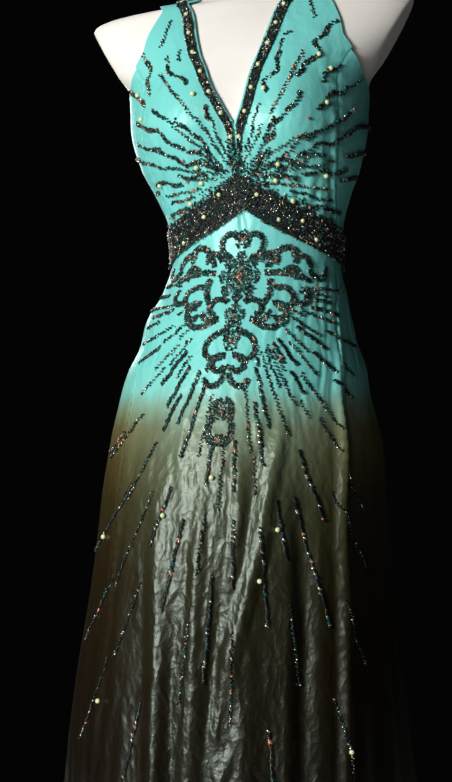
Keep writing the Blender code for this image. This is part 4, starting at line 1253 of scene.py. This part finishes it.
# Lines on the straps that point elsewhere, from one pixel to another
Mark = namedtuple("Mark", "start end rows wave shares", defaults=(None,))
STRAP_MARKS = table(
    Mark,
    ((161, 49), (171, 22), 1, 0.5), ((179, 34), (181, 62), 1, 1.2),
    ((146, 53), (152, 96), 2, 3.6, COPPER), ((310, 0), (315, 18), 1, 0.8),
)
SKIRT_MIDDLE = (238, 285)
SKIRT_RAYS = table(
    Ray,
    (-89, 54, 80, 1), (-85, 72, 90, 1), (-68, 68, 98, 2), (-52, 66, 92, 1),
    (-47, 62, 80, 1, 0.6, COPPER), (-40, 70, 104, 1), (-33, 84, 112, 1), (-20, 76, 92, 2),
    (-57, 124, 150, 1), (-61, 108, 124, 2), (14, 74, 84, 2), (22, 70, 112, 1), (28, 72, 98, 1),
    (36, 66, 100, 2), (46, 64, 96, 1, 0.6, COPPER), (58, 62, 96, 1), (68, 66, 104, 1),
    (83, 60, 90, 1, 0.8), (28, 130, 150, 1), (52, 128, 146, 1), (-87, 66, 82, 1), (-80, 68, 80, 2),
    (-72, 62, 90, 1, 1.0), (-63, 54, 68, 1, 0.6, COPPER), (-64, 85, 104, 1), (-57, 74, 118, 1),
    (-51, 98, 126, 2), (-44, 83, 119, 1, 0.6, COPPER), (-41, 109, 144, 1), (-37, 83, 125, 2),
    (-30, 94, 142, 2), (-27, 123, 163, 2), (-23, 94, 153, 2), (-18, 100, 182, 2),
    (-13, 112, 176, 1, 0.6, COPPER), (-9, 157, 203, 2), (-5, 156, 228, 1), (-1, 155, 208, 2),
    (4, 102, 168, 1, 0.6, COPPER), (5, 172, 212, 1), (8, 118, 184, 2), (12, 84, 148, 2),
    (18, 70, 160, 1), (25, 66, 134, 1), (31, 66, 92, 2, 0.6, COPPER), (31, 100, 127, 2),
    (41, 76, 118, 1), (35, 107, 179, 1), (54, 71, 109, 2), (48, 100, 131, 2),
    (64, 54, 72, 1, 0.6, COPPER), (73, 75, 105, 2), (87, 62, 104, 1, 0.8, COPPER), (79, 66, 94, 2, 0.8),
    (62, 97, 131, 1), (45, 134, 160, 2), (31, 155, 196, 1), (-37, 184, 256, 1), (-28, 225, 320, 2),
    (-36, 158, 214, 1), (-27, 176, 242, 1), (-22, 222, 325, 1), (-18, 212, 274, 2), (-13, 240, 335, 2),
    (-8, 230, 294, 1), (-1, 235, 304, 2), (5, 243, 344, 2), (10, 218, 280, 2), (15, 219, 356, 2),
    (20, 175, 251, 2), (24, 226, 308, 1), (29, 214, 258, 1), (-18, 312, 393, 1), (-23, 318, 386, 1),
    (-8, 340, 423, 1, 0.6, COPPER), (-5, 292, 400, 2), (-1, 347, 441, 1, 0.6, COPPER), (9, 323, 406, 1),
    (18, 332, 398, 1), (-19, 392, 480, 1), (-13, 428, 506, 2), (4, 446, 500, 2), (13, 424, 508, 1),
)
BODICE_PALE = (
    (193, 95), (264, 89), (318, 55), (329, 69), (325, 103), (143, 120), (140, 96), (324, 175),
    (278, 163), (275, 180), (197, 167), (202, 183), (162, 185), (192, 203), (292, 201),
)
BODICE_ROSE = (
    (158, 129), (307, 118), (184, 160), (189, 181), (287, 154), (288, 178), (187, 199), (308, 207),
)
SKIRT_PALE = (
    (212, 478), (165, 516), (106, 537), (277, 530), (258, 581), (100, 701), (345, 751),
)
NIGHT_FROM = 150
RAY_STEP = 6
RAY_MISS = 1.0
PIXEL_ON_CLOTH = 0.0012
LONG_WAVE = 6.5
SHORT_WAVE = 3.4
KNOT_WAVE = 2.6
KNOTS_ABOVE = -0.25


def shares_of(ray):
    """Rays that set out low on the dark cloth are blacker than the others."""
    return ray.shares or (NIGHT if ray.near >= NIGHT_FROM else LINE)


def ray_places(middle, ray, up, rng):
    """Dense places along a ray of the photograph, with slow waves of its own across the cloth.

    The third array tells which of them the camera sees, short of the outline.
    """
    length = ray.far - ray.near
    away = np.linspace(ray.near, ray.far, int(length * 4))
    few = np.linspace(ray.near, ray.far, max(5, int(length / RAY_STEP)))
    turn = math.radians(ray.turn)
    phase = rng.uniform(0, 2 * np.pi, 2)
    upward = 1 if up else -1
    x = middle[0] + few * math.sin(turn)
    y = middle[1] - upward * few * math.cos(turn)
    angle, height = place_at_pixel(x, y)
    miss = np.linalg.norm(pixel_of(smooth_cloth(angle, height)) - np.stack([x, y], axis=-1), axis=-1)
    seen = np.interp(away, few, miss < RAY_MISS) > 0.99
    angle = np.interp(away, few, angle)
    height = np.interp(away, few, height)
    waves = 0.6 * np.sin(away / LONG_WAVE + phase[0]) + 0.4 * np.sin(away / SHORT_WAVE + phase[1])
    wander = PIXEL_ON_CLOTH * ray.wave * waves
    radius = SKIRT["half_width"](np.clip(height, 0.0, WAIST_HEIGHT))
    run = np.gradient(np.radians(angle) * radius)
    rise = np.gradient(height)
    step = np.maximum(np.hypot(run, rise), 1e-6)
    return angle - np.degrees(rise / step * wander / radius), height + run / step * wander, seen


def mark_ray(mark):
    """A mark as a ray from a middle of its own, with that middle."""
    across = mark.end[0] - mark.start[0]
    down = mark.end[1] - mark.start[1]
    turn = math.degrees(math.atan2(across, -down))
    return mark.start, Ray(turn, 0, math.hypot(across, down), mark.rows, mark.wave, mark.shares)


def bead_chain(beads, middle, ray):
    """A ray of the bodice: one row, or one row with knots of two more beads along it."""
    angle, height, seen = ray_places(middle, ray, True, beads.rng)
    keep = on_bodice(angle, height) & seen
    shares = shares_of(ray)
    if ray.rows == 1:
        bead_rows(beads, angle, height, 1, shares, CHAIN_RADIUS, keep)
        return
    bead_rows(beads, angle, height, 1, shares, ROUND_RADIUS, keep)
    run = np.linspace(0, ray.far - ray.near, len(keep))
    knots = np.sin(run / KNOT_WAVE + ray.turn) > KNOTS_ABOVE
    bead_rows(beads, angle, height, 2, shares, CHAIN_RADIUS, keep & knots)


def bodice_beads(materials):
    left = Beads(11)
    right = Beads(12)
    for ray in BODICE_RAYS:
        bead_chain(left if ray.turn < 0 else right, BODICE_MIDDLE, ray)
    for mark in STRAP_MARKS:
        bead_chain(left if mark.start[0] < BODICE_MIDDLE[0] else right, *mark_ray(mark))
    for pixels, look, shape, radius in (
        (BODICE_PALE, "bead_pale", "round", PALE_RADIUS),
        (BODICE_ROSE, "bead_rose", "crystal", 0.0026),
    ):
        angle, height = places_of(pixels)
        for beads, mask in ((left, angle < 0), (right, angle >= 0)):
            single_beads(beads, angle[mask], height[mask], shape, radius, look)
    return left.build("beads_bodice_left", materials), right.build("beads_bodice_right", materials)


def skirt_beads(materials):
    beads = Beads(13)
    for ray in SKIRT_RAYS:
        angle, height, seen = ray_places(SKIRT_MIDDLE, ray, False, beads.rng)
        if ray.rows == 1:
            bead_rows(beads, angle, height, 1, shares_of(ray), CHAIN_RADIUS, seen)
        else:
            bead_bars(beads, angle, height, shares_of(ray), seen)
    single_beads(beads, *places_of(SKIRT_PALE), "round", PALE_RADIUS, "bead_pale")
    return beads.build("beads_skirt", materials)


# The medallion under the band: scrolls and rosettes drawn flat, as (across, height) from its middle,
# and laid on the skirt. A scroll sets out with a heading in degrees (0 outwards, 90 up), and its bend, in
# degrees a millimetre, changes evenly from its first value to its last.
MEDALLION_ACROSS = 0.001
MEDALLION_HEIGHT = 1.044
MEDALLION_LEAN = 0.075
MEDALLION_SCALE = 1.08
MEDALLION_ROUND = 0.95
MEDALLION_BEAD = 0.0016
SCROLL_LAYERS = (3, 2)
Scroll = namedtuple("Scroll", "across height heading length bend_in bend_out")
SCROLLS = table(
    Scroll,
    (0.011, 0.021, 25, 0.052, 2.0, 7.0), (0.021, 0.016, 76, 0.034, -2.0, -11.0),
    (0.03, 0.01, 80, 0.06, -0.6, -6.6), (0.054, 0.026, 8, 0.034, -1.5, -3.6),
    (0.078, 0.01, -62, 0.04, 2.0, 7.0), (0.026, 0.004, 6, 0.056, -0.5, -0.6),
    (0.038, -0.012, 8, 0.05, -1.0, -8.0), (0.033, -0.002, -80, 0.036, 0.0, -4.4),
    (0.038, -0.031, 18, 0.044, -3.0, -9.4), (0.02, -0.05, -36, 0.06, 0.5, 7.0),
    (0.008, -0.03, 40, 0.038, -3.4, -7.6), (0.003, -0.06, -20, 0.064, 0.0, -7.2),
    (0.003, -0.09, 14, 0.042, -4.0, -9.6), (0.002, -0.108, -78, 0.036, 0.5, 10.0),
    (0.001, -0.139, 0, 0.029, -8.4, 2.2), (0.0115, -0.163, -90, 0.029, 2.2, -8.4),
    (0.048, 0.006, 48, 0.03, -3.0, -11.0), (0.016, -0.048, -10, 0.026, -2.0, 12.0),
    (0.062, -0.028, -30, 0.034, 2.0, 11.0),
)
ROSETTE_PITCH = 0.0022
ROSETTE_MIDDLE = 0.40
ROSETTE_RING = (0.42, 0.66)
PETAL_START = 0.69
PETAL_ROOT = 0.75
PETALS_APART = 0.25
Rosette = namedtuple("Rosette", "height petals radius stretch")
ROSETTES = table(
    Rosette,
    (0.0, 8, 0.023, 1.32), (0.043, 5, 0.0105, 1.1), (-0.046, 5, 0.0115, 1.35), (-0.073, 5, 0.009, 1.4),
    (-0.152, 5, 0.008, 1.3), (-0.183, 5, 0.0085, 0.9),
)


def drawn_place(across, height):
    """Angle and height on the skirt of a flat drawing's points, laid round it."""
    level = MEDALLION_HEIGHT + MEDALLION_SCALE * np.asarray(height, float)
    lean = MEDALLION_LEAN * (level - MEDALLION_HEIGHT)
    spread = MEDALLION_SCALE * np.asarray(across, float)
    shift = MEDALLION_ACROSS + lean + spread - SKIRT["sway"](level)
    return np.degrees(shift / (MEDALLION_ROUND * SKIRT["half_width"](level))), level


def scroll_path(scroll, side):
    """Dense flat points of a scroll, mirrored for the other side."""
    steps = int(scroll.length / 0.0004)
    share = np.linspace(0, 1, steps)
    bend = scroll.bend_in * share + (scroll.bend_out - scroll.bend_in) * share**2 / 2
    heading = np.radians(scroll.heading + bend * scroll.length * 1000)
    step = scroll.length / steps
    across = scroll.across + np.cumsum(np.cos(heading)) * step
    height = scroll.height + np.cumsum(np.sin(heading)) * step
    return side * across, height


def add_rosette(beads, rosette):
    """Petals, a ring and a middle, each packed with beads, with the cloth showing between them."""
    pitch = ROSETTE_PITCH
    reach = rosette.radius * rosette.stretch
    across, height = np.meshgrid(
        np.arange(-rosette.radius, rosette.radius + pitch, pitch),
        np.arange(-reach, reach + pitch, pitch * 0.87),
    )
    across = across + (np.arange(len(height)) % 2)[:, None] * pitch / 2
    across = (across + beads.rng.normal(0, pitch * 0.1, across.shape)).ravel()
    height = (height + beads.rng.normal(0, pitch * 0.1, height.shape)).ravel()
    away = np.hypot(across, height / rosette.stretch) / rosette.radius
    turn = np.arctan2(across, height / rosette.stretch)
    lobe = np.abs(np.cos(rosette.petals * turn / 2)) ** 0.7
    middle = away < ROSETTE_MIDDLE
    ring = (away > ROSETTE_RING[0]) & (away < ROSETTE_RING[1])
    petal_end = PETAL_ROOT + (1 - PETAL_ROOT) * lobe
    petals = (away > PETAL_START) & (away < petal_end) & (lobe > PETALS_APART)
    for part, shares in ((middle, COPPER), (ring | petals, LINE)):
        point, normal = surface_frame(*drawn_place(across[part], rosette.height + height[part]))
        packed_beads(beads, point, normal, shares, bugles=0.05, radius=0.0014)
    centre = drawn_place(np.zeros(1), np.array([rosette.height]))
    single_beads(beads, *centre, "crystal", 0.0030, "bead_rose")


def medallion_beads(materials):
    beads = Beads(14)
    for scroll in SCROLLS:
        for side in (-1, 1):
            angle, level = drawn_place(*scroll_path(scroll, side))
            clear = level < band_height(angle) - band_half_height(angle) - 0.003
            for rows in SCROLL_LAYERS:
                bead_rows(beads, angle, level, rows, MEDALLION, MEDALLION_BEAD, clear, 0.06, 0.35)
    for rosette in ROSETTES:
        add_rosette(beads, rosette)
    return beads.build("beads_medallion", materials)


def beaded_ground(name, surface, lift, net):
    """Net ground of a beaded strip, from a function that gives its points at a lift."""
    ground = shell("ground_" + name, surface(lift + GROUND_OUTSIDE), surface(lift + GROUND_INSIDE), [net])
    return state_piece(ground, name)


BAND_LIFT = CLOTH_WALL + LAYER_GAP
BAND_ROWS = 12
BAND_COLUMNS_A_DEGREE = 1.1
BAND_DISORDER = 0.16
SCALLOP_LENGTH = 0.0095
SCALLOP_SHARE = 0.05
PALE_PITCH = 0.045
LOOSE_BEADS = 330
LOOSE_TURN = 22
LOOSE_RISE = 0.0034
LOOSE_LIMIT = 0.014
BAND_PALE = ((220, 194), (257, 194), (292, 200), (206, 217), (278, 220), (301, 221), (314, 240), (187, 243))


def band_cloth(angle, height, lift):
    return cloth_base(angle, height) + outward(cloth_base, angle, height) * lift


def scatter_above_band(beads):
    """Loose beads on the bodice just above the band, fewer with every millimetre."""
    rng = beads.rng
    angle = angle_of(rng.normal(0, LOOSE_TURN, LOOSE_BEADS), WAIST_HEIGHT)
    edge = band_height(angle) + band_half_height(angle)
    height = edge + 0.001 + rng.exponential(LOOSE_RISE, LOOSE_BEADS)
    kept = height < edge + LOOSE_LIMIT
    point, normal = surface_frame(angle[kept], height[kept])
    packed_beads(beads, point, normal, LINE, bugles=0.1)


def build_band(name, start, end, start_gap, end_gap, seed, net, materials):
    """A length of the band: its net ground and the beads packed on it, scalloped along the lower edge."""
    columns = int(abs(end - start) * BAND_COLUMNS_A_DEGREE)
    grid = band_grid(start, end, BAND_ROWS, columns, start_gap, end_gap)
    ground = beaded_ground(name, lambda lift: band_cloth(*grid, lift), BAND_LIFT, net)

    beads = Beads(seed)
    rng = beads.rng
    middle = [part[1] for part in band_grid(start, end, 3, 200, start_gap, end_gap)]
    line = band_cloth(*middle, BAND_LIFT)
    length = np.linalg.norm(np.diff(line, axis=0), axis=-1).sum()
    pitch = SEED_RADIUS * BESIDE
    across_count = int(length / pitch)
    rows = int(2 * BAND_HALF_HEIGHT / pitch)
    share, down = np.meshgrid((np.arange(across_count) + 0.5) / across_count, np.linspace(1, -1, rows))
    share = share + (np.arange(rows) % 2)[:, None] * 0.5 / across_count
    share = share + rng.normal(0, BAND_DISORDER, share.shape) / across_count
    share = np.clip(share, 0.002, 0.998)
    scallop = SCALLOP_SHARE * np.abs(np.sin(share * length / SCALLOP_LENGTH * np.pi)) * (down < -0.93)
    down = down + rng.normal(0, BAND_DISORDER, share.shape) / rows * 2 - scallop
    angle = angle_of(start + (end - start) * share, WAIST_HEIGHT).ravel()
    height = band_height(angle) + band_half_height(angle) * down.ravel() * 0.99
    points = band_cloth(angle, height, BAND_LIFT + GROUND_OUTSIDE)
    packed_beads(beads, points, outward(cloth_base, angle, height), BAND)
    if start < 0 < end:
        scatter_above_band(beads)
        angle, height = places_of(BAND_PALE)
    else:
        count = int(length / PALE_PITCH)
        angle = angle_of(rng.uniform(start + 4, end - 4, count), WAIST_HEIGHT)
        height = band_height(angle) + rng.uniform(-0.7, 0.7, count) * BAND_HALF_HEIGHT
    pale = band_cloth(angle, height, BAND_LIFT + GROUND_OUTSIDE + 0.0012)
    beads.alike("round", pale, outward(cloth_base, angle, height), PALE_RADIUS * 0.9, "bead_pale")
    return ground, beads.build("beads_" + name, materials)


TRIM_LIFT = 0.0017
TRIM_GRID = (170, 7)
TRIM_STEPS = 1200
TRIM_ROWS = 6
TRIM_PALE_PITCH = 0.031
TRIM_DISORDER = 0.00025


def trim_place(side, station, share):
    """Angle and height on a neck edging, share 0 at its neck side and 1 at its outer side."""
    past = station - TRIM_FIRST_STATION + TRIM_POINT_LEAD
    full = TRIM_FULL_STATION - TRIM_FIRST_STATION + TRIM_POINT_LEAD
    grown = np.maximum(TRIM_POINT_SHARE, smoothstep(past / full))
    across = (TRIM_INSET + TRIM_WIDTH * grown * share) / front_width(side, station)
    angle, height = front_place(side, station, across)
    gap = math.degrees(SEAM_CLEAR / NECK_RADIUS)
    return side * np.clip(angle + gap, gap, CENTRE_BACK - gap), height


def trim_line(side, stations, share, lift):
    """A line along a neck edging at a share of its width, with its normals."""
    angle, height = trim_place(side, stations, np.full((1, 1), share))
    angle = angle[:, 0]
    height = height[:, 0]
    return cloth(angle, height, TRIM_LIFT + GROUND_OUTSIDE + lift), outward(cloth_base, angle, height)


def build_trim(side, word, seed, net, materials):
    """A neck edging: its net ground and about five rows of packed beads, with pale ones along it."""
    name = "neck_trim_" + word
    last = len(FRONT_STATIONS) - 1
    stations = np.linspace(TRIM_FIRST_STATION, last, TRIM_GRID[0])[:, None]
    grid = trim_place(side, stations, np.linspace(0, 1, TRIM_GRID[1])[None, :])
    ground = beaded_ground(name, lambda lift: cloth(*grid, lift), TRIM_LIFT, net)

    beads = Beads(seed)
    dense = np.linspace(TRIM_FIRST_STATION, last, TRIM_STEPS)[:, None]
    for row in range(TRIM_ROWS):
        line, normals = trim_line(side, dense, (row + 0.5) / TRIM_ROWS, 0.0)
        chosen = along(line, SEED_RADIUS * BESIDE)
        if row in (0, TRIM_ROWS - 1):
            chosen = chosen[dense[chosen, 0] > TRIM_FIRST_STATION + 0.3]
        aside = np.cross(normals[chosen], thread_of(line)[chosen])
        jitter = aside * beads.rng.normal(0, TRIM_DISORDER, len(chosen))[:, None]
        packed_beads(beads, line[chosen] + jitter, normals[chosen], BAND)
    line, normals = trim_line(side, dense, 0.5, 0.0014)
    chosen = along(line, TRIM_PALE_PITCH)
    chosen = chosen[dense[chosen, 0] > TRIM_FULL_STATION - 1.2]
    thread = thread_of(line)[chosen]
    beads.alike("round", line[chosen], normals[chosen], PALE_RADIUS * 0.9, "bead_pale", thread)
    return ground, beads.build("beads_" + name, materials)


NECK_POINT_STATION = 4.0
BINDING_STEPS = 320
BINDING_SIDES = 12
BINDING_CLEAR = 0.0009
BINDING_FLATNESS = 0.8


def build_binding(side, word, material):
    """Narrow roll of satin that binds the neck edge, inside the beads."""
    stations = np.linspace(NECK_POINT_STATION, len(FRONT_STATIONS) - 1, BINDING_STEPS)[:, None]
    angle, height = front_place(side, stations, np.zeros((1, 1)))
    height = height[:, 0]
    gap = math.degrees(BINDING_CLEAR / NECK_RADIUS)
    angle = side * np.clip(angle[:, 0] + 0.3 * gap, gap * 0.6, CENTRE_BACK - gap * 0.6)
    line = cloth(angle, height, SHELL_OUTSIDE * 0.5)
    thread = thread_of(line)
    aside = unit(np.cross(outward(cloth_base, angle, height), thread))
    up = np.cross(thread, aside)
    turns = np.linspace(0, 2 * np.pi, BINDING_SIDES, endpoint=False)
    rings = (
        line[:, None, :]
        + aside[:, None, :] * (BINDING_RADIUS * np.cos(turns))[None, :, None]
        + up[:, None, :] * (BINDING_FLATNESS * BINDING_RADIUS * np.sin(turns))[None, :, None]
    )
    return state_piece(closed_tube("neck_binding_" + word, rings, material, 80))


# The form, the zip and the stage

SHOULDER_LOW = 1.37
SHOULDER_HIGH = 1.45
FORM_ROWS = (96, 84, 10)
FORM_COLUMNS = 144


def build_form(material):
    """Smooth dress form, closed by its flat neck top and flat bottom, finest at the shoulders."""
    levels = (FORM_BOTTOM, SHOULDER_LOW, SHOULDER_HIGH, FORM_TOP)
    spans = [np.linspace(*span) for span in zip(levels[:-1], levels[1:], FORM_ROWS)]
    heights = np.concatenate([spans[0], spans[1][1:], spans[2][1:]])[:, None]
    angles = np.linspace(-180, 180, FORM_COLUMNS, endpoint=False)[None, :]
    rings = form_point(angles + 0 * heights, heights + 0 * angles)
    return state_piece(closed_tube("dress_form", rings, material, 50), "form_torso")


TOOTH_PITCH = 0.0014
TOOTH_OUT = 0.0009
TOOTH_HALF_WIDTH = 0.00135
TOOTH_HALF_DEPTH = 0.0006
TOOTH_HALF_HEIGHT = 0.00055


def build_zip_teeth(material):
    """Interlocked teeth on the closed chain, seen as small bars across the gap."""
    top = float(TOP_EDGE(CENTRE_BACK)) - ZIP_END_INSET
    heights = np.arange(ZIP_BOTTOM + ZIP_END_INSET, top, TOOTH_PITCH)
    angle = np.full(len(heights), CENTRE_BACK)
    normal = outward(cloth_base, angle, heights)
    middle = cloth_base(angle, heights) + normal * TOOTH_OUT
    tooth = barrel(6, [(-0.8, 0.9), (0.8, 0.9)], (-1.0, 1.0))
    across = np.tile(np.array([1.0, 0.0, 0.0]), (len(heights), 1))
    up = unit(np.cross(across, normal))
    axes = across * TOOTH_HALF_WIDTH, normal * TOOTH_HALF_DEPTH, up * TOOTH_HALF_HEIGHT
    points, faces = copies_of(*tooth, middle, *axes)
    teeth = new_object("zip_teeth", mesh_of("zip_teeth", points, faces), [material])
    return state_piece(teeth, "zip_chain")


def finish_node(name, material):
    """Gives a solid that stays in view its material."""
    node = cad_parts[name]
    node.data.materials.clear()
    node.data.materials.append(material)


def area_light(name, azimuth, elevation, away, size, power, colour, target):
    light = bpy.data.lights.new(name, "AREA")
    light.shape = "RECTANGLE"
    light.size = size[0]
    light.size_y = size[1]
    light.energy = power
    light.color = colour
    obj = bpy.data.objects.new(name, light)
    turn = math.radians(azimuth)
    rise = math.radians(elevation)
    back = Vector((
        math.sin(turn) * math.cos(rise), -math.cos(turn) * math.cos(rise), math.sin(rise),
    ))
    obj.location = target + back * away
    obj.rotation_euler = back.to_track_quat("Z", "Y").to_euler()
    bpy.context.scene.collection.objects.link(obj)

Light = namedtuple("Light", "name azimuth elevation away size power colour")
LIGHTS = table(
    Light,
    ("key", -29, 9, 2.3, (0.5, 0.7), 60, (1.0, 0.985, 0.96)),
    ("front_soft", -14, 18, 3.2, (1.5, 1.2), 14, (1.0, 0.98, 0.97)),
    ("left_glow", -95, 14, 2.2, (0.6, 0.8), 1.6, (1.0, 0.84, 0.58)),
    ("back_fill", 200, 20, 2.8, (1.6, 1.4), 50, (1.0, 1.0, 1.0)),
    ("side_fill", 105, 20, 3.2, (1.4, 1.8), 0.8, (1.0, 1.0, 1.0)),
)


FLOOR_REACH = 1.35
WORLD_GREY = 0.0012


def build_stage():
    """Plain pale floor, soft light from the front left, a weak fill all round, and the camera."""
    mesh = bpy.data.meshes.new("floor")
    turns = ((-1, -1), (1, -1), (1, 1), (-1, 1))
    corners = [(FLOOR_REACH * x, FLOOR_REACH * y, 0.0) for x, y in turns]
    mesh.from_pydata(corners, [], [(0, 1, 2, 3)])
    pale = mottled("floor_pale", 0.3, (0.58, 0.58, 0.57), 0.7, (0.64, 0.64, 0.63), 0.6, (3.0,))
    floor = new_object("floor", mesh, [pale], smooth=False)

    for light in LIGHTS:
        area_light(*light, Vector((0.0, 0.0, 1.0)))

    world = bpy.data.worlds.new("studio")
    world.use_nodes = True
    background = world.node_tree.nodes["Background"]
    background.inputs["Color"].default_value = (WORLD_GREY, WORLD_GREY, WORLD_GREY, 1.0)
    background.inputs["Strength"].default_value = 1.0
    bpy.context.scene.world = world
    bpy.context.scene.view_settings.view_transform = "Standard"

    camera = bpy.data.cameras.new("camera")
    camera.sensor_fit = "VERTICAL"
    camera.sensor_height = SENSOR
    camera.sensor_width = SENSOR
    camera.lens = LENS
    camera.shift_x = SHIFT_X
    obj = bpy.data.objects.new("camera", camera)
    turn = math.radians(CAMERA_AZIMUTH)
    obj.location = (
        math.sin(turn) * CAMERA_AWAY, -math.cos(turn) * CAMERA_AWAY, CAMERA_HEIGHT,
    )
    obj.rotation_euler = (math.radians(90), 0.0, turn)
    bpy.context.scene.collection.objects.link(obj)
    bpy.context.scene.camera = obj


# Putting it together


def dress_panel(name, grid, material):
    """A panel of cloth in place of its solid."""
    obj = state_piece(cloth_shell("cloth_" + name, grid, [material]), name)


def build_bodice(satin_material, net, bead_materials):
    """Neck edgings, bindings and the three bodice panels of each side."""
    bead_sets = bodice_beads(bead_materials)
    for side, word, bead_set in ((-1, "left", bead_sets[0]), (1, "right", bead_sets[1])):
        ground, beads = build_trim(side, word, 21 + side, net, bead_materials)
        pieces = [bead_set, build_binding(side, word, satin_material)]
        for cut, grid, with_pieces in (
            ("bodice_front", front_grid(side), pieces),
            ("bodice_side", bodice_back_grid(side, SIDE_FRONT, SIDE_BACK, 90, 46), ()),
            ("bodice_back", bodice_back_grid(side, SIDE_BACK, CENTRE_BACK, 60, 40), ()),
        ):
            dress_panel(cut + "_" + word, grid, satin_material)


def build_skirt(satin_material, bead_materials):
    sewn_on = [medallion_beads(bead_materials), skirt_beads(bead_materials)]
    for name, cut, start, end, rows, columns, pieces in (
        ("skirt_front", "skirt_front", -SIDE_FRONT, SIDE_FRONT, 256, 160, sewn_on),
        ("skirt_side_left", "skirt_side", -SIDE_BACK, -SIDE_FRONT, 190, 84, ()),
        ("skirt_side_right", "skirt_side", SIDE_FRONT, SIDE_BACK, 190, 84, ()),
        ("skirt_back_left", "skirt_back", -CENTRE_BACK, -SIDE_BACK, 180, 60, ()),
        ("skirt_back_right", "skirt_back", SIDE_BACK, CENTRE_BACK, 180, 60, ()),
    ):
        grid = skirt_grid(start, end, rows, columns)
        dress_panel(name, grid, satin_material)


def build_waist_band(net, bead_materials):
    for name, cut, seed, start, end, start_gap, end_gap in (
        ("band_front", "band_front", 31, -SIDE_FRONT, SIDE_FRONT, SEAM_CLEAR, SEAM_CLEAR),
        ("band_back_left", "band_back", 32, -CENTRE_BACK, -SIDE_FRONT, ZIP_HALF_GAP, SEAM_CLEAR),
        ("band_back_right", "band_back", 33, SIDE_FRONT, CENTRE_BACK, SEAM_CLEAR, ZIP_HALF_GAP),
    ):
        ground, beads = build_band(name, start, end, start_gap, end_gap, seed, net, bead_materials)


def main():
    satin_material = satin("satin_dyed")
    net = plain_net("bead_ground")
    bead_materials = [bead_material(name, *look) for name, look in BEAD_LOOKS.items()]
    chrome = metal("polished_chrome", (0.62, 0.62, 0.63), 0.16, 0.04)
    build_form(eggshell("form_eggshell"))
    build_bodice(satin_material, net, bead_materials)
    build_skirt(satin_material, bead_materials)
    build_waist_band(net, bead_materials)
    build_zip_teeth(chrome)
    for name in ("zip_slider", "zip_pull", "form_flange", "stand_pole", "stand_collar"):
        finish_node(name, chrome)
    finish_node("stand_base", painted_steel("black_steel"))
    finish_node("nape_button", satin_material)
    build_stage()


main()
